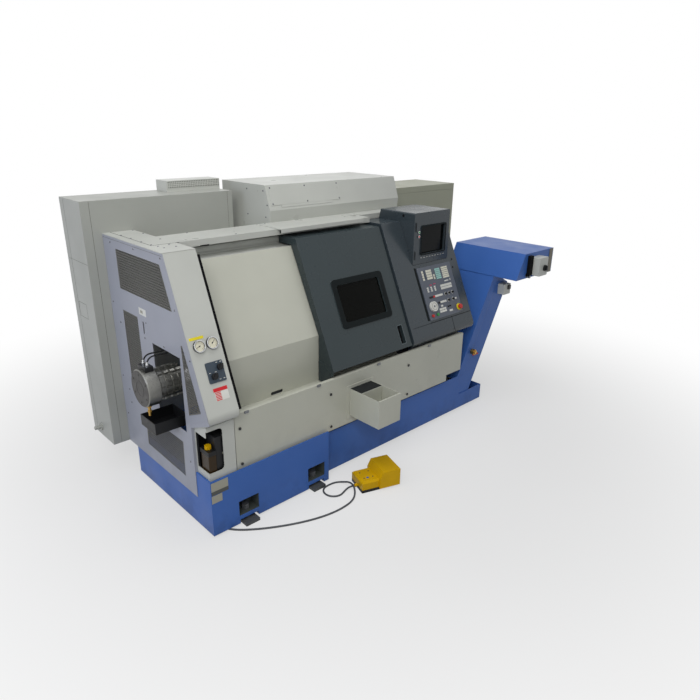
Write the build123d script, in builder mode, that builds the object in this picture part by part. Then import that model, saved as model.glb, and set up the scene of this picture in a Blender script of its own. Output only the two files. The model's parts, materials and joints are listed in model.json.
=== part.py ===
from build123d import *
import os
from math import cos, hypot, radians, sin, tan

# CNC turning lathe: a slant bed machine in a folded sheet enclosure, with coolant tank,
# chip conveyor, electric cabinets and a foot switch. Millimetres, +Z up, origin on the
# floor at the middle of the footprint. Stations are measured from the front left corner of
# the base: X to the right, Y to the rear, Z up from the floor.

# Sheet metal, fits and cutters
SHEET = 4.0
OVERRUN = 20.0
SEAT_GAP = 0.3
RUNNING_FIT = 0.05
PANEL_GAP = 3.0

# Base casting with its levelling feet
BASE_LENGTH = 865.0
BASE_DEPTH = 930.0
BASE_BOTTOM = 14.0
BASE_TOP = 352.0
LIP_HEIGHT = 16.0
LIP_WIDTH = 10.0
BEAM_SHORT = 76.0
WINDOW_WIDTH = 138.0
WINDOW_HEIGHT = 98.0
WINDOW_SILL = 66.0
WINDOW_DEPTH = 90.0
NOTCH_WIDTH = 130.0
NOTCH_TOP = 40.0
NOTCH_DEPTH = 120.0
FOOT_X_FRONT = (243.0, 760.0)
BEAM_FOOT_INSETS = (750.0, 120.0)
FOOT_INSET = 14.0
PAD_WIDTH = 95.0
PAD_DEPTH = 98.0
PAD_THICKNESS = 20.0
JACK_RADIUS = 14.0
BOLT_RADIUS = 24.0
BOLT_HEIGHT = 38.0
CORD_POCKET_X = (24.0, 130.0)
CORD_POCKET_Y = (36.0, 200.0)
CORD_POCKET_TOP = 96.0
CORD_INLET_X = 62.0
CORD_INLET_Z = 40.0
CORD_INLET_LENGTH = 22.0
CORD_INLET_RADIUS = 13.0

# Slant bed: the guide plane leans back at 45 degrees and passes below the spindle
SPINDLE_Y = 375.0
SPINDLE_Z = 858.0
BED_LEAN = 45.0
BED_LEFT = 800.0
BED_DROP = 330.0
GUIDE_WIDTH = 46.0
GUIDE_HEIGHT = 20.0
GUIDE_SHARES = (0.27, 0.70)

# Headstock, spindle, chuck and its jaws
HEAD_LEFT = 230.0
HEAD_RIGHT = 790.0
HEAD_FRONT = 212.0
HEAD_REAR = 512.0
HEAD_TOP = 1000.0
HEAD_CHAMFER = 70.0
SPINDLE_RADIUS = 60.0
NOSE_FLANGE_RADIUS = 86.0
NOSE_FLANGE_LENGTH = 24.0
DRAW_BORE_RADIUS = 28.0
CHUCK_RADIUS = 105.0
CHUCK_LENGTH = 92.0
CHUCK_CHAMFER = 6.0
CHUCK_BORE_RADIUS = 30.0
JAW_WIDTH = 34.0
JAW_SLOT_DEPTH = 26.0
JAW_HEIGHT = 40.0
JAW_INNER = 42.0
JAW_OUTER = 98.0
JAW_STEP = 24.0
JAW_COUNT = 3

# Rotary cylinder at the rear end of the spindle, with its fixed end cap
CYLINDER_OVERHANG = 166.0
CAP_LENGTH = 78.0
CAP_RADIUS = 108.0
CAP_CHAMFER = 5.0
CAP_BLOCK_WIDTH = 84.0
CAP_BLOCK_LENGTH = 46.0
CAP_BLOCK_TOP = 126.0
CYLINDER_RADIUS = 92.0
CYLINDER_LENGTH = 148.0
RIB_COUNT = 12
RIB_WIDTH = 16.0
RIB_HEIGHT = 10.0
GROOVE_WIDTH = 10.0
GROOVE_DEPTH = 14.0
GROOVE_COUNT = 3
JOURNAL_RADIUS = 34.0
PIPE_RADIUS = 4.5
PIPE_SPREAD = 44.0
PIPE_RISE = 50.0
PIPE_SAG = 34.0
PIPE_BEND = 40.0
DRIP_LEFT = -146.0
DRIP_RIGHT = 52.0
DRIP_FRONT = 286.0
DRIP_REAR = 462.0
DRIP_HEIGHT = 66.0

# Left end cover with its cut-outs, in station Y and Z
END_FRONT = 150.0
REAR_CLEARANCE = 110.0
END_BOTTOM = 205.0
END_HEEL_Z = 675.0
END_TOE_Z = 764.0
OPENING_Y = (205.0, 520.0)
OPENING_Z = (600.0, 1043.0)
GRIP_Y = 612.0
GRIP_Z = (1072.0, 1147.0)
GRIP_WIDTH = 16.0
UPPER_GRILLE = ((875.0, 1289.0), (875.0, 1524.0), (334.0, 1524.0), (243.0, 1290.0))
SIDE_GRILLE = ((680.0, 690.0), (875.0, 690.0), (875.0, 1158.0), (680.0, 1158.0))
NARROW_GRILLE = ((26.0, 782.0), (160.0, 722.0), (182.0, 1120.0), (168.0, 1126.0))
LOWER_GRILLE = ((268.0, 288.0), (741.0, 300.0), (732.0, 518.0), (261.0, 518.0))
MESH_SHEET = 2.0
MESH_PITCH = 22.0
MESH_BAR = 11.0
MESH_BORDER = 9.0

# Leaning gauge cover at the front left corner
GAUGE_WIDTH = 188.0
GAUGE_FOOT_Y = -55.0
GAUGE_FOOT_Z = 732.0
GAUGE_LEAN = 22.2
GAUGE_NOSE = 50.0
GAUGE_UNDERSIDE = 245.0
GAUGE_RETURN = 92.0
GAUGE_PLACES = ((57.0, 1123.0), (134.0, 1125.0))
GAUGE_RADIUS = 33.0
GAUGE_HEIGHT = 15.0
GAUGE_RIM = 5.0
GAUGE_DISH = 6.0
NEEDLE_WIDTH = 3.0
NEEDLE_HEIGHT = 2.5
SWITCH_X = (62.0, 162.0)
SWITCH_Z = (932.0, 1036.0)
SWITCH_THICKNESS = 6.0
SWITCH_CORNER = 6.0
SWITCH_KNOBS = ((140.0, 1004.0), (96.0, 964.0))
SWITCH_KNOB_RADIUS = 17.0
SWITCH_KNOB_HEIGHT = 14.0
SWITCH_GRIP_LENGTH = 40.0
SWITCH_GRIP_WIDTH = 11.0
SWITCH_GRIP_HEIGHT = 20.0
SWITCH_STEM_RADIUS = 5.0

# Corner cover with the wrap-round window, and the lubricator behind it
CORNER_LEFT = 12.0
CORNER_FRONT = 17.0
CORNER_RIGHT = 184.0
CORNER_TOP = 694.0
CORNER_WINDOW_RIGHT = 108.0
CORNER_WINDOW_Z = (410.0, 668.0)
CORNER_WINDOW_RADIUS = 22.0
CORNER_SIDE_TOP = 628.0
CORNER_POST = 10.0
LUBE_X = (66.0, 160.0)
LUBE_Y = (30.0, 140.0)
LUBE_TOP = 612.0
LUBE_FILLET = 8.0
OIL_LEFT = 22.0
OIL_Y = (28.0, 116.0)
OIL_TOP = 536.0
FILLER_RADIUS = 16.0
FILLER_HEIGHT = 22.0
FILLER_STEM = 8.0
FILLER_STEM_RADIUS = 11.0
FILLER_RIB_RADIUS = 3.0
FILLER_RIBS = 8

# Front panel and sliding parts tray
PANEL_FRONT = 24.0
PANEL_TOP = 707.0
PANEL_SHORT = 134.0
PANEL_FLANGE = 26.0
PANEL_NOTCH_WIDTH = 176.0
PANEL_NOTCH_Z = 400.0
TRAY_X = (1066.0, 1266.0)
TRAY_FRONT = -247.0
TRAY_REAR = 60.0
TRAY_Z = (410.0, 602.0)
TRAY_RIM = 12.0
TRAY_FRAME = 22.0

# Fixed front cover beside the door, with the recess deck below it
COVER_LEFT = 208.0
COVER_LAP = 60.0
DECK_Y = 195.0
DECK_Z = 640.0
SILL_TOP = 735.0
COVER_BREAK_Y = 190.0
COVER_BREAK_Z = 953.0
COVER_TOP_Y = 455.0
COVER_TOP_Z = 1487.0
VENT_X = (566.0, 655.0)
VENT_Z = (648.0, 670.0)
VENT_RADIUS = 8.0

# Sliding door and its rail
DOOR_LEFT = 940.0
DOOR_RIGHT = 1690.0
DOOR_FOOT_Y = 36.0
DOOR_FOOT_Z = 745.0
DOOR_LEAN = 24.65
DOOR_TOP = 1538.0
DOOR_SKIN = 6.0
DOOR_RETURN_Y = 590.0
DOOR_SIDE_Y = 572.0
DOOR_SIDE_Z = 1493.0
DOOR_CLEARANCE = 8.0
PANE_X = (1152.0, 1538.0)
PANE_Z = (1001.0, 1227.0)
PANE_THICKNESS = 8.0
PANE_LAP = 16.0
PANE_RADIUS = 14.0
SEAL_BORDER = 40.0
SEAL_HEIGHT = 5.0
HANDLE_INSET = 54.0
HANDLE_WIDTH = 46.0
HANDLE_Z = (775.0, 893.0)
HANDLE_DEPTH = 26.0
HANDLE_RADIUS = 8.0
RAIL_FRONT = 577.0
RAIL_BOTTOM = 1502.0
HEADER_FRONT = 462.0
HEADER_REAR = 600.0
HEADER_FLOOR = 1478.0

# Operator console, monitor and keyboard
DOOR_GAP = 10.0
CONSOLE_WIDTH = 710.0
CONSOLE_PROUD = 16.0
CONSOLE_BOTTOM = 715.0
CONSOLE_TOP = 1555.0
CONSOLE_BACK = 600.0
CONSOLE_DEPTH = 70.0
CONSOLE_BROW = 60.0
CONSOLE_SKIN = 5.0
CONSOLE_NOSE = 45.0
CONSOLE_HEM = 90.0
CONSOLE_SEAM_Z = 850.0
CONSOLE_SEAM_INSET = 470.0
SEAM_WIDTH = 3.0
SEAM_DEPTH = 2.0
MONITOR_INSET = 200.0
MONITOR_WIDTH = 400.0
MONITOR_Z = (1251.0, 1625.0)
MONITOR_BACK_Y = (588.0, 606.0)
MONITOR_EDGE = 10.0
SCREEN_MARGINS = (82.0, 50.0)
SCREEN_Z = (1324.0, 1524.0)
SCREEN_RECESS = 22.0
SCREEN_THICKNESS = 8.0
SCREEN_RADIUS = 10.0
LAMP_INSET = 49.0
LAMP_Z = (1488.0, 1457.0)
LAMP_RADIUS = 7.0
LAMP_HEIGHT = 4.0
KEYBOARD_INSET = 225.0
KEYBOARD_WIDTH = 387.0
KEYBOARD_Z = (866.0, 1226.0)
KEYBOARD_THICKNESS = 6.0
KEYBOARD_CORNER = 8.0
KEY_HEIGHT = 3.0
KEY_GAP = 4.0
# Places of controls are X from the keyboard's left edge, and height above the floor.
# Each key block: left, bottom, width and height as shares of the keyboard, columns, rows
KEY_BLOCK_SHARES = (
    (0.095, 0.745, 0.050, 0.190, 1, 4),
    (0.220, 0.745, 0.160, 0.190, 3, 4),
    (0.485, 0.720, 0.150, 0.210, 2, 6),
    (0.685, 0.710, 0.185, 0.225, 3, 6),
    (0.130, 0.515, 0.045, 0.100, 1, 3),
    (0.235, 0.515, 0.045, 0.100, 1, 3),
    (0.340, 0.515, 0.045, 0.100, 1, 3),
    (0.530, 0.505, 0.340, 0.100, 6, 2),
    (0.130, 0.395, 0.400, 0.045, 7, 1),
    (0.340, 0.260, 0.250, 0.045, 4, 1),
    (0.325, 0.085, 0.200, 0.090, 3, 2),
    (0.605, 0.060, 0.100, 0.045, 2, 1),
)
OVERRIDE_SHARES = ((0.625, 0.414), (0.731, 0.414), (0.837, 0.414), (0.665, 0.283), (0.802, 0.283))
OVERRIDE_RADIUS = 9.0
OVERRIDE_HEIGHT = 12.0
WHEEL_PLACE = (65.0, 953.0)
WHEEL_RADIUS = 38.0
WHEEL_HEIGHT = 16.0
WHEEL_DIMPLE_RADIUS = 6.0
WHEEL_DIMPLE_PITCH = 25.0
WHEEL_STEM_RADIUS = 6.0
STOP_INSET = 35.0
STOP_Z = 903.0
STOP_RADIUS = 19.0
STOP_NECK_RADIUS = 11.0
STOP_HEIGHT = 26.0
STOP_HEAD = 12.0
STOP_TRAVEL = 6.0
STOP_RING_RADIUS = 26.0
STOP_RING_HEIGHT = 4.0
HOLD_PLACE = (37.0, 893.0)
START_PLACE = (92.0, 893.0)
BUTTON_RADIUS = 11.0
BUTTON_HEIGHT = 9.0
BUTTON_TRAVEL = 4.0

# Roof, rear covers and cabinets
ROOF_BOTTOM = 1585.0
ROOF_SHEET = 5.0
ROOF_FRONT = 505.0
ROOF_CONSOLE_FRONT = 620.0
ROOF_LIP = 32.0
ROOF_STEP = 170.0
LID_X = (876.0, 1595.0)
LID_Y = (460.0, 690.0)
LID_HEIGHT = 6.0
LID_FOLD = 20.0
PULL_X = (1548.0, 1651.0)
PULL_Y = (600.0, 640.0)
PULL_HEIGHT = 10.0
REAR_LEFT = 1000.0
REAR_BULGE = 270.0
REAR_BOTTOM = 204.0
WALL_STEP_Y = 610.0
TOP_BOX_SHORT = 26.0
TOP_BOX_FOOT_Y = 745.0
TOP_BOX_KNEE_Y = 738.0
TOP_BOX_KNEE_Z = 1666.0
TOP_BOX_CREST_Y = 795.0
TOP_BOX_CREST_Z = 1826.0
ACCESS_SHARES = (0.08, 0.44)
ACCESS_BORDER = 16.0
ACCESS_HEIGHT = 2.0
CABINET_X = (-112.0, 904.0)
CABINET_DEPTH = 300.0
CABINET_Z = (204.0, 1779.0)
CABINET_DOOR = 20.0
CABINET_DOOR_INSET = 6.0
DEVICE_DEPTH = 110.0
DEVICE_GAP = 40.0
DEVICE_ROWS = 3
GLAND_SETBACK = 188.0
GLAND_Z = 268.0
GLAND_RADIUS = 26.0
GLAND_LENGTH = 46.0
GLAND_FLANGE = 10.0
FAN_X = (507.0, 900.0)
FAN_SETBACK = 145.0
FAN_DEPTH = 145.0
FAN_HEIGHT = 71.0
FAN_SLOT_SHARES = (0.45, 0.82)
FAN_SLOTS = 14
FAN_SLOT_GAP = 9.0
HOUSING_LENGTH = 904.0
HOUSING_DEPTH = 458.0
HOUSING_PROUD = 48.0
HOUSING_TOP = 1716.0
HOUSING_LID = 48.0
HOUSING_FOOT = 60.0
HOUSING_FOOT_SIZE = 70.0

# Coolant tank and chip conveyor
TANK_GAP = 8.0
TANK_REACH = 360.0
TANK_FRONT = 56.0
TANK_REAR = 506.0
TANK_BOTTOM = 31.0
TANK_TOP = 324.0
TANK_STEP = 50.0
TANK_LOW_TOP = 155.0
TANK_WALL = 5.0
TANK_LEG = 60.0
CONVEYOR_LEAN = 63.4
CONVEYOR_REAR = 498.0
TROUGH_INSET = 32.0
TROUGH_TOP = 300.0
INCLINE_GAP = 38.0
INCLINE_Z = 368.0
INCLINE_TOP = 1110.0
DUCT_DEPTH = 230.0
FLANGE_WIDTH = 76.0
FLANGE_HEIGHT = 5.0
BELT_LEVEL = 142.0
BELT_INSET = 105.0
BELT_HEAD_Z = 1112.0
BELT_RADIUS = 60.0
BELT_THICKNESS = 10.0
FLIGHT_HEIGHT = 24.0
FLIGHT_WIDTH = 6.0
FLIGHT_COUNT = 7
BELT_MARGIN = 18.0
DRIVE_RADIUS = 20.0
SPROCKET_WIDTH = 30.0
SPROCKET_INSET = 40.0
HOOD_FRONT = -150.0
HOOD_REAR = 515.0
HOOD_BOTTOM = 1086.0
HOOD_TOP = 1283.0
HOOD_REACH = 914.0
ISOLATOR_REACH = 576.0
ISOLATOR_WIDTH = 120.0
ISOLATOR_Z = (1108.0, 1252.0)
ISOLATOR_DEPTH = 84.0
ISOLATOR_KNOB_RADIUS = 24.0
ISOLATOR_KNOB_HEIGHT = 26.0
ISOLATOR_GRIP_LENGTH = 40.0
ISOLATOR_GRIP_WIDTH = 12.0
ISOLATOR_KNOB_SHARES = (0.62, 0.42)
BOX_CORNER = 6.0
JUNCTION_REACH = 480.0
JUNCTION_WIDTH = 94.0
JUNCTION_Z = (926.0, 1012.0)
JUNCTION_DEPTH = 58.0
VALVE_REACH = 176.0
VALVE_Z = 502.0
VALVE_RADIUS = 15.0
VALVE_LENGTH = 46.0
VALVE_BODY_RADIUS = 22.0
VALVE_BODY_LENGTH = 26.0
VALVE_STEM_RADIUS = 6.0
VALVE_STEM_LENGTH = 14.0
LEVER_LENGTH = 74.0
LEVER_WIDTH = 16.0
LEVER_THICKNESS = 5.0

# Saddle, cross slide and turret, along the bed and up its lean
SADDLE_LEFT = 1336.0
SADDLE_LENGTH = 300.0
SADDLE_LOW = -90.0
SADDLE_HIGH = 400.0
SADDLE_THICKNESS = 92.0
SLIDE_LOW = 96.0
SLIDE_HIGH = 430.0
SLIDE_THICKNESS = 84.0
SLIDE_INSET = 40.0
TURRET_REACH = 262.0
TURRET_RADIUS = 122.0
TURRET_LENGTH = 80.0
TURRET_SIDES = 12
TURRET_SHAFT_RADIUS = 38.0
TURRET_HEAD_LENGTH = 190.0
TURRET_HEAD_SIZE = 190.0
TOOL_SIZE = 25.0
TOOL_LENGTH = 62.0
TOOL_PROUD = 34.0
TOOL_COUNT = 6

# Foot switch on the floor, turned in plan, and its cord
PEDAL_X = 955.0
PEDAL_Y = -176.0
PEDAL_TURN = -18.9
PEDAL_REAR_LENGTH = 132.0
PEDAL_HALF_WIDTH = 80.0
PEDAL_REAR_TOP = 78.0
PEDAL_HOOD_LENGTH = 265.0
PEDAL_HOOD_HALF = 96.0
PEDAL_HOOD_TOP = 128.0
PEDAL_HOOD_BOTTOM = 12.0
PEDAL_WALL = 5.0
PEDAL_CHAMFER = 12.0
PEDAL_PIN_RADIUS = 6.0
PEDAL_PIN_X = 150.0
PEDAL_PIN_Z = 62.0
PEDAL_PLATE = 9.0
PEDAL_PLATE_END = 248.0
PEDAL_PLATE_HALF = 60.0
CORD_RADIUS = 6.0
CORD_GLAND_RADIUS = 11.0
CORD_GLAND_LENGTH = 20.0
CORD_EXIT_Z = 17.0
CORD_BEND_SHARE = 0.45
TUBE_SIDES = 8
CORD_LEAD = 33.0
CORD_ROUTE = (
    (869, -159, 9),
    (835, -171, 6),
    (801, -176, 6),
    (769, -162, 6),
    (748, -134, 6),
    (744, -100, 6),
    (757, -67, 6),
    (785, -46, 6),
    (823, -41, 6),
    (869, -45, 6),
    (901, -62, 7),
    (920, -91, 13),
    (925, -127, 28),
    (921, -162, 35),
    (908, -197, 35),
    (886, -230, 19),
    (853, -256, 8),
    (810, -274, 6),
    (762, -282, 6),
    (698, -284, 6),
    (624, -276, 6),
    (548, -258, 6),
    (472, -232, 6),
    (396, -199, 6),
    (326, -163, 6),
    (261, -125, 6),
    (201, -84, 6),
    (146, -40, 6),
    (104, 8, 6),
    (78, 56, 8),
    (66, 100, 23),
    (62, 140, 40),
    (62, 178, 40),
)

# Places worked out from the sizes above
PEDAL_FRONT = (
    PEDAL_Y
    + PEDAL_HOOD_LENGTH * sin(radians(PEDAL_TURN))
    - PEDAL_HOOD_HALF * cos(radians(PEDAL_TURN))
)
END_REAR = BASE_DEPTH + REAR_CLEARANCE
CABINET_FRONT = END_REAR
CABINET_REAR = CABINET_FRONT + CABINET_DEPTH
FAN_FRONT = CABINET_FRONT + FAN_SETBACK
REAR_BACK = END_REAR + REAR_BULGE
HOUSING_REAR = REAR_BACK + HOUSING_PROUD
HOUSING_FRONT = HOUSING_REAR - HOUSING_DEPTH
COVER_RIGHT = DOOR_LEFT + COVER_LAP
HANDLE_X = (DOOR_RIGHT - HANDLE_INSET - HANDLE_WIDTH, DOOR_RIGHT - HANDLE_INSET)
CONSOLE_LEFT = DOOR_RIGHT + DOOR_GAP
CONSOLE_RIGHT = CONSOLE_LEFT + CONSOLE_WIDTH
CONSOLE_SEAM_X = CONSOLE_LEFT + CONSOLE_SEAM_INSET
MONITOR_X = (CONSOLE_LEFT + MONITOR_INSET, CONSOLE_LEFT + MONITOR_INSET + MONITOR_WIDTH)
SCREEN_X = (MONITOR_X[0] + SCREEN_MARGINS[0], MONITOR_X[1] - SCREEN_MARGINS[1])
LAMP_X = MONITOR_X[0] + LAMP_INSET
KEYBOARD_X = (CONSOLE_LEFT + KEYBOARD_INSET, CONSOLE_LEFT + KEYBOARD_INSET + KEYBOARD_WIDTH)
STOP_PLACE = (KEYBOARD_WIDTH - STOP_INSET, STOP_Z)
PANEL_RIGHT = CONSOLE_RIGHT - PANEL_SHORT
PANEL_NOTCH_LEFT = PANEL_RIGHT - PANEL_NOTCH_WIDTH
BEAM_END = PANEL_RIGHT - BEAM_SHORT
FOOT_X_BEAM = tuple(BEAM_END - inset for inset in BEAM_FOOT_INSETS)
TOP_BOX_X = (REAR_LEFT, PANEL_RIGHT - TOP_BOX_SHORT)
HOUSING_RIGHT = PANEL_RIGHT + HOUSING_LENGTH
TANK_LEFT = BASE_LENGTH + TANK_GAP
TANK_RIGHT = PANEL_RIGHT + TANK_REACH
TANK_LOW_LEFT = PANEL_RIGHT + TANK_STEP
TROUGH_LEFT = TANK_LEFT + TROUGH_INSET
BELT_TAIL = TROUGH_LEFT + BELT_INSET
INCLINE_X = PANEL_RIGHT + INCLINE_GAP
HOOD_RIGHT = PANEL_RIGHT + HOOD_REACH
ISOLATOR_X = (PANEL_RIGHT + ISOLATOR_REACH, PANEL_RIGHT + ISOLATOR_REACH + ISOLATOR_WIDTH)
JUNCTION_X = (PANEL_RIGHT + JUNCTION_REACH, PANEL_RIGHT + JUNCTION_REACH + JUNCTION_WIDTH)
VALVE_PLACE = (PANEL_RIGHT + VALVE_REACH, VALVE_Z)
LEFT_END = -(HOOD_RIGHT - CYLINDER_OVERHANG) / 2
FRONT = -(CABINET_REAR + SEAT_GAP + CABINET_DOOR + PEDAL_FRONT) / 2
PANEL_LEFT = GAUGE_WIDTH + PANEL_GAP
PANEL_BACK = PANEL_FRONT + SHEET
HEADER_FLOOR_TOP = HEADER_FLOOR + SHEET
RETURN_UNDERSIDE = DOOR_TOP - DOOR_SKIN
TROUGH_FRONT = TANK_FRONT + TANK_WALL
TROUGH_BOTTOM = TANK_BOTTOM + TANK_WALL
ROOF_TOP = ROOF_BOTTOM + ROOF_SHEET
WELL_FLOOR = ROOF_BOTTOM - ROOF_STEP
CHUCK_LEFT = HEAD_RIGHT + NOSE_FLANGE_LENGTH
CHUCK_FACE = CHUCK_LEFT + CHUCK_LENGTH
CAP_RIGHT = CAP_LENGTH - CYLINDER_OVERHANG
CYLINDER_RIGHT = CAP_RIGHT + CYLINDER_LENGTH


def side(x):
    """Plane across the machine at station X, sketched in Y and Z."""
    return Plane(origin=(LEFT_END + x, FRONT, 0), x_dir=(0, 1, 0), z_dir=(1, 0, 0))


def front(y):
    """Plane along the machine at station Y, sketched in X and Z, facing the operator."""
    return Plane(origin=(LEFT_END, FRONT + y, 0), x_dir=(1, 0, 0), z_dir=(0, -1, 0))


def level(z):
    """Level plane at height Z, sketched in X and Y."""
    return Plane(origin=(LEFT_END, FRONT, z), x_dir=(1, 0, 0), z_dir=(0, 0, 1))


def leaning(y, z, lean):
    """Plane that leans back from the foot line at Y and Z, sketched in X and up the slope."""
    normal = (0, -cos(radians(lean)), sin(radians(lean)))
    return Plane(origin=(LEFT_END, FRONT + y, z), x_dir=(1, 0, 0), z_dir=normal)


def pedal_level(z):
    """Level plane of the foot switch, sketched along and across it."""
    turn = radians(PEDAL_TURN)
    origin = (LEFT_END + PEDAL_X, FRONT + PEDAL_Y, z)
    return Plane(origin=origin, x_dir=(cos(turn), sin(turn), 0), z_dir=(0, 0, 1))


def pedal_side(offset):
    """Upright plane along the foot switch, sketched along it and up."""
    turn = radians(PEDAL_TURN)
    across = (sin(turn), -cos(turn), 0)
    origin = (
        LEFT_END + PEDAL_X + offset * across[0],
        FRONT + PEDAL_Y + offset * across[1],
        0,
    )
    return Plane(origin=origin, x_dir=(cos(turn), sin(turn), 0), z_dir=across)


def prism(plane, outline, depth, mode=Mode.ADD):
    """Extrude a closed outline of straight edges from a plane."""
    with BuildSketch(plane) as profile:
        with BuildLine():
            Polyline(*outline, close=True)
        make_face()
    extrude(profile.sketch, amount=depth, mode=mode)


def block(x, y, z, mode=Mode.ADD):
    """Box between two stations on each axis."""
    outline = ((x[0], y[0]), (x[1], y[0]), (x[1], y[1]), (x[0], y[1]))
    prism(level(z[0]), outline, z[1] - z[0], mode)


def pad(plane, x, up, depth, corner=0, mode=Mode.ADD):
    """Rounded rectangle between two places on each sketch axis, extruded from its plane."""
    with BuildSketch(plane) as profile:
        with Locations(((x[0] + x[1]) / 2, (up[0] + up[1]) / 2)):
            if corner:
                RectangleRounded(x[1] - x[0], up[1] - up[0], corner)
            else:
                Rectangle(x[1] - x[0], up[1] - up[0])
    extrude(profile.sketch, amount=depth, mode=mode)


def post(plane, centre, radius, depth, mode=Mode.ADD):
    """Round bar standing on a plane."""
    with BuildSketch(plane) as profile:
        with Locations(centre):
            Circle(radius)
    extrude(profile.sketch, amount=depth, mode=mode)


def folded(plane, path, thickness, length, inside, bend=0):
    """Folded sheet: a path of straight runs thickened to one side and extruded."""
    with BuildSketch(plane) as profile:
        with BuildLine():
            if bend:
                FilletPolyline(*path, radius=bend)
            else:
                Polyline(*path)
            offset(amount=thickness, side=inside, kind=Kind.INTERSECTION)
        make_face()
    extrude(profile.sketch, amount=length)


def keep(piece, label):
    """Name a finished piece and write it."""
    piece.part.label = label
    export_step(piece.part, f"parts/{label}.step")


def door_y(z):
    """Station Y of the door's outer face at height Z."""
    return DOOR_FOOT_Y + (z - DOOR_FOOT_Z) * tan(radians(DOOR_LEAN))


def console_y(z):
    """Station Y of the console's outer face at height Z."""
    return door_y(z) - CONSOLE_PROUD


def gauge_y(z):
    """Station Y of the gauge cover's outer face at height Z."""
    return GAUGE_FOOT_Y + (z - GAUGE_FOOT_Z) * tan(radians(GAUGE_LEAN))


def gauge_up(z):
    """Distance up the gauge cover's face at height Z."""
    return (z - GAUGE_FOOT_Z) / cos(radians(GAUGE_LEAN))


def door_up(z):
    """Distance up the door's or the console's face at height Z."""
    return (z - DOOR_FOOT_Z) / cos(radians(DOOR_LEAN))


def gauge_face(lift=0):
    """Plane of the gauge cover's face, lifted off it."""
    lean = radians(GAUGE_LEAN)
    return leaning(GAUGE_FOOT_Y - lift * cos(lean), GAUGE_FOOT_Z + lift * sin(lean), GAUGE_LEAN)


def door_face(lift=0):
    """Plane of the door's face, lifted off it."""
    lean = radians(DOOR_LEAN)
    return leaning(DOOR_FOOT_Y - lift * cos(lean), DOOR_FOOT_Z + lift * sin(lean), DOOR_LEAN)


def console_face(lift=0):
    """Plane of the console's face, lifted off it."""
    lean = radians(DOOR_LEAN)
    foot_y = console_y(DOOR_FOOT_Z) - lift * cos(lean)
    return leaning(foot_y, DOOR_FOOT_Z + lift * sin(lean), DOOR_LEAN)


def bed_plane(x=0, lift=0):
    """Guide plane of the slant bed, sketched along X and up the lean, origin under the spindle."""
    lean = radians(BED_LEAN)
    drop = BED_DROP - lift
    y = SPINDLE_Y + drop * sin(lean)
    z = SPINDLE_Z - drop * cos(lean)
    normal = (0, -sin(lean), cos(lean))
    return Plane(origin=(LEFT_END + x, FRONT + y, z), x_dir=(1, 0, 0), z_dir=normal)


def incline_x(z):
    """Station X of the conveyor's upper face at height Z."""
    return INCLINE_X + (z - INCLINE_Z) / tan(radians(CONVEYOR_LEAN))


os.makedirs("parts", exist_ok=True)

# Base casting: main block under the headstock and a beam under the slant bed
with BuildPart() as base_casting:
    block((0, BASE_LENGTH), (0, BASE_DEPTH), (BASE_BOTTOM, BASE_TOP))
    block((BASE_LENGTH, BEAM_END), (HEAD_REAR, BASE_DEPTH), (BASE_BOTTOM, BASE_TOP))
    block((0, BASE_LENGTH), (0, LIP_WIDTH), (BASE_TOP, BASE_TOP + LIP_HEIGHT))
    block((0, LIP_WIDTH), (0, END_FRONT), (BASE_TOP, BASE_TOP + LIP_HEIGHT))
    for x in FOOT_X_FRONT:
        half = WINDOW_WIDTH / 2
        window_z = (WINDOW_SILL, WINDOW_SILL + WINDOW_HEIGHT)
        pad(front(0), (x - half, x + half), window_z, -WINDOW_DEPTH, mode=Mode.SUBTRACT)
        half = NOTCH_WIDTH / 2
        for y in ((0, NOTCH_DEPTH), (BASE_DEPTH - NOTCH_DEPTH, BASE_DEPTH)):
            block((x - half, x + half), y, (BASE_BOTTOM, NOTCH_TOP), mode=Mode.SUBTRACT)
    for x in FOOT_X_BEAM:
        half = NOTCH_WIDTH / 2
        y = (HEAD_REAR, BASE_DEPTH)
        block((x - half, x + half), y, (BASE_BOTTOM, NOTCH_TOP), mode=Mode.SUBTRACT)
    block(CORD_POCKET_X, CORD_POCKET_Y, (BASE_BOTTOM, CORD_POCKET_TOP), mode=Mode.SUBTRACT)
    post(front(CORD_POCKET_Y[1]), (CORD_INLET_X, CORD_INLET_Z), CORD_INLET_RADIUS, CORD_INLET_LENGTH)
keep(base_casting, "base_casting")

# Levelling feet: floor pads with jack screws, and the clamp bolts seen through the windows
with BuildPart() as levelling_feet:
    places = [(x, y) for x in FOOT_X_FRONT for y in (FOOT_INSET, BASE_DEPTH - FOOT_INSET)]
    places += [(x, y) for x in FOOT_X_BEAM for y in (HEAD_REAR + PAD_DEPTH, BASE_DEPTH - PAD_DEPTH)]
    for x, y in places:
        with BuildSketch(level(0)) as floor_pad:
            with Locations((x, y)):
                Rectangle(PAD_WIDTH, PAD_DEPTH)
        extrude(floor_pad.sketch, amount=PAD_THICKNESS)
        inset = min(max(y, JACK_RADIUS * 2), BASE_DEPTH - JACK_RADIUS * 2)
        post(level(PAD_THICKNESS), (x, inset), JACK_RADIUS, NOTCH_TOP - PAD_THICKNESS)
    for x in FOOT_X_FRONT:
        with BuildSketch(level(WINDOW_SILL)) as bolt_head:
            with Locations((x, WINDOW_DEPTH / 2)):
                RegularPolygon(BOLT_RADIUS, 6)
        extrude(bolt_head.sketch, amount=BOLT_HEIGHT)
keep(levelling_feet, "levelling_feet")

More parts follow.
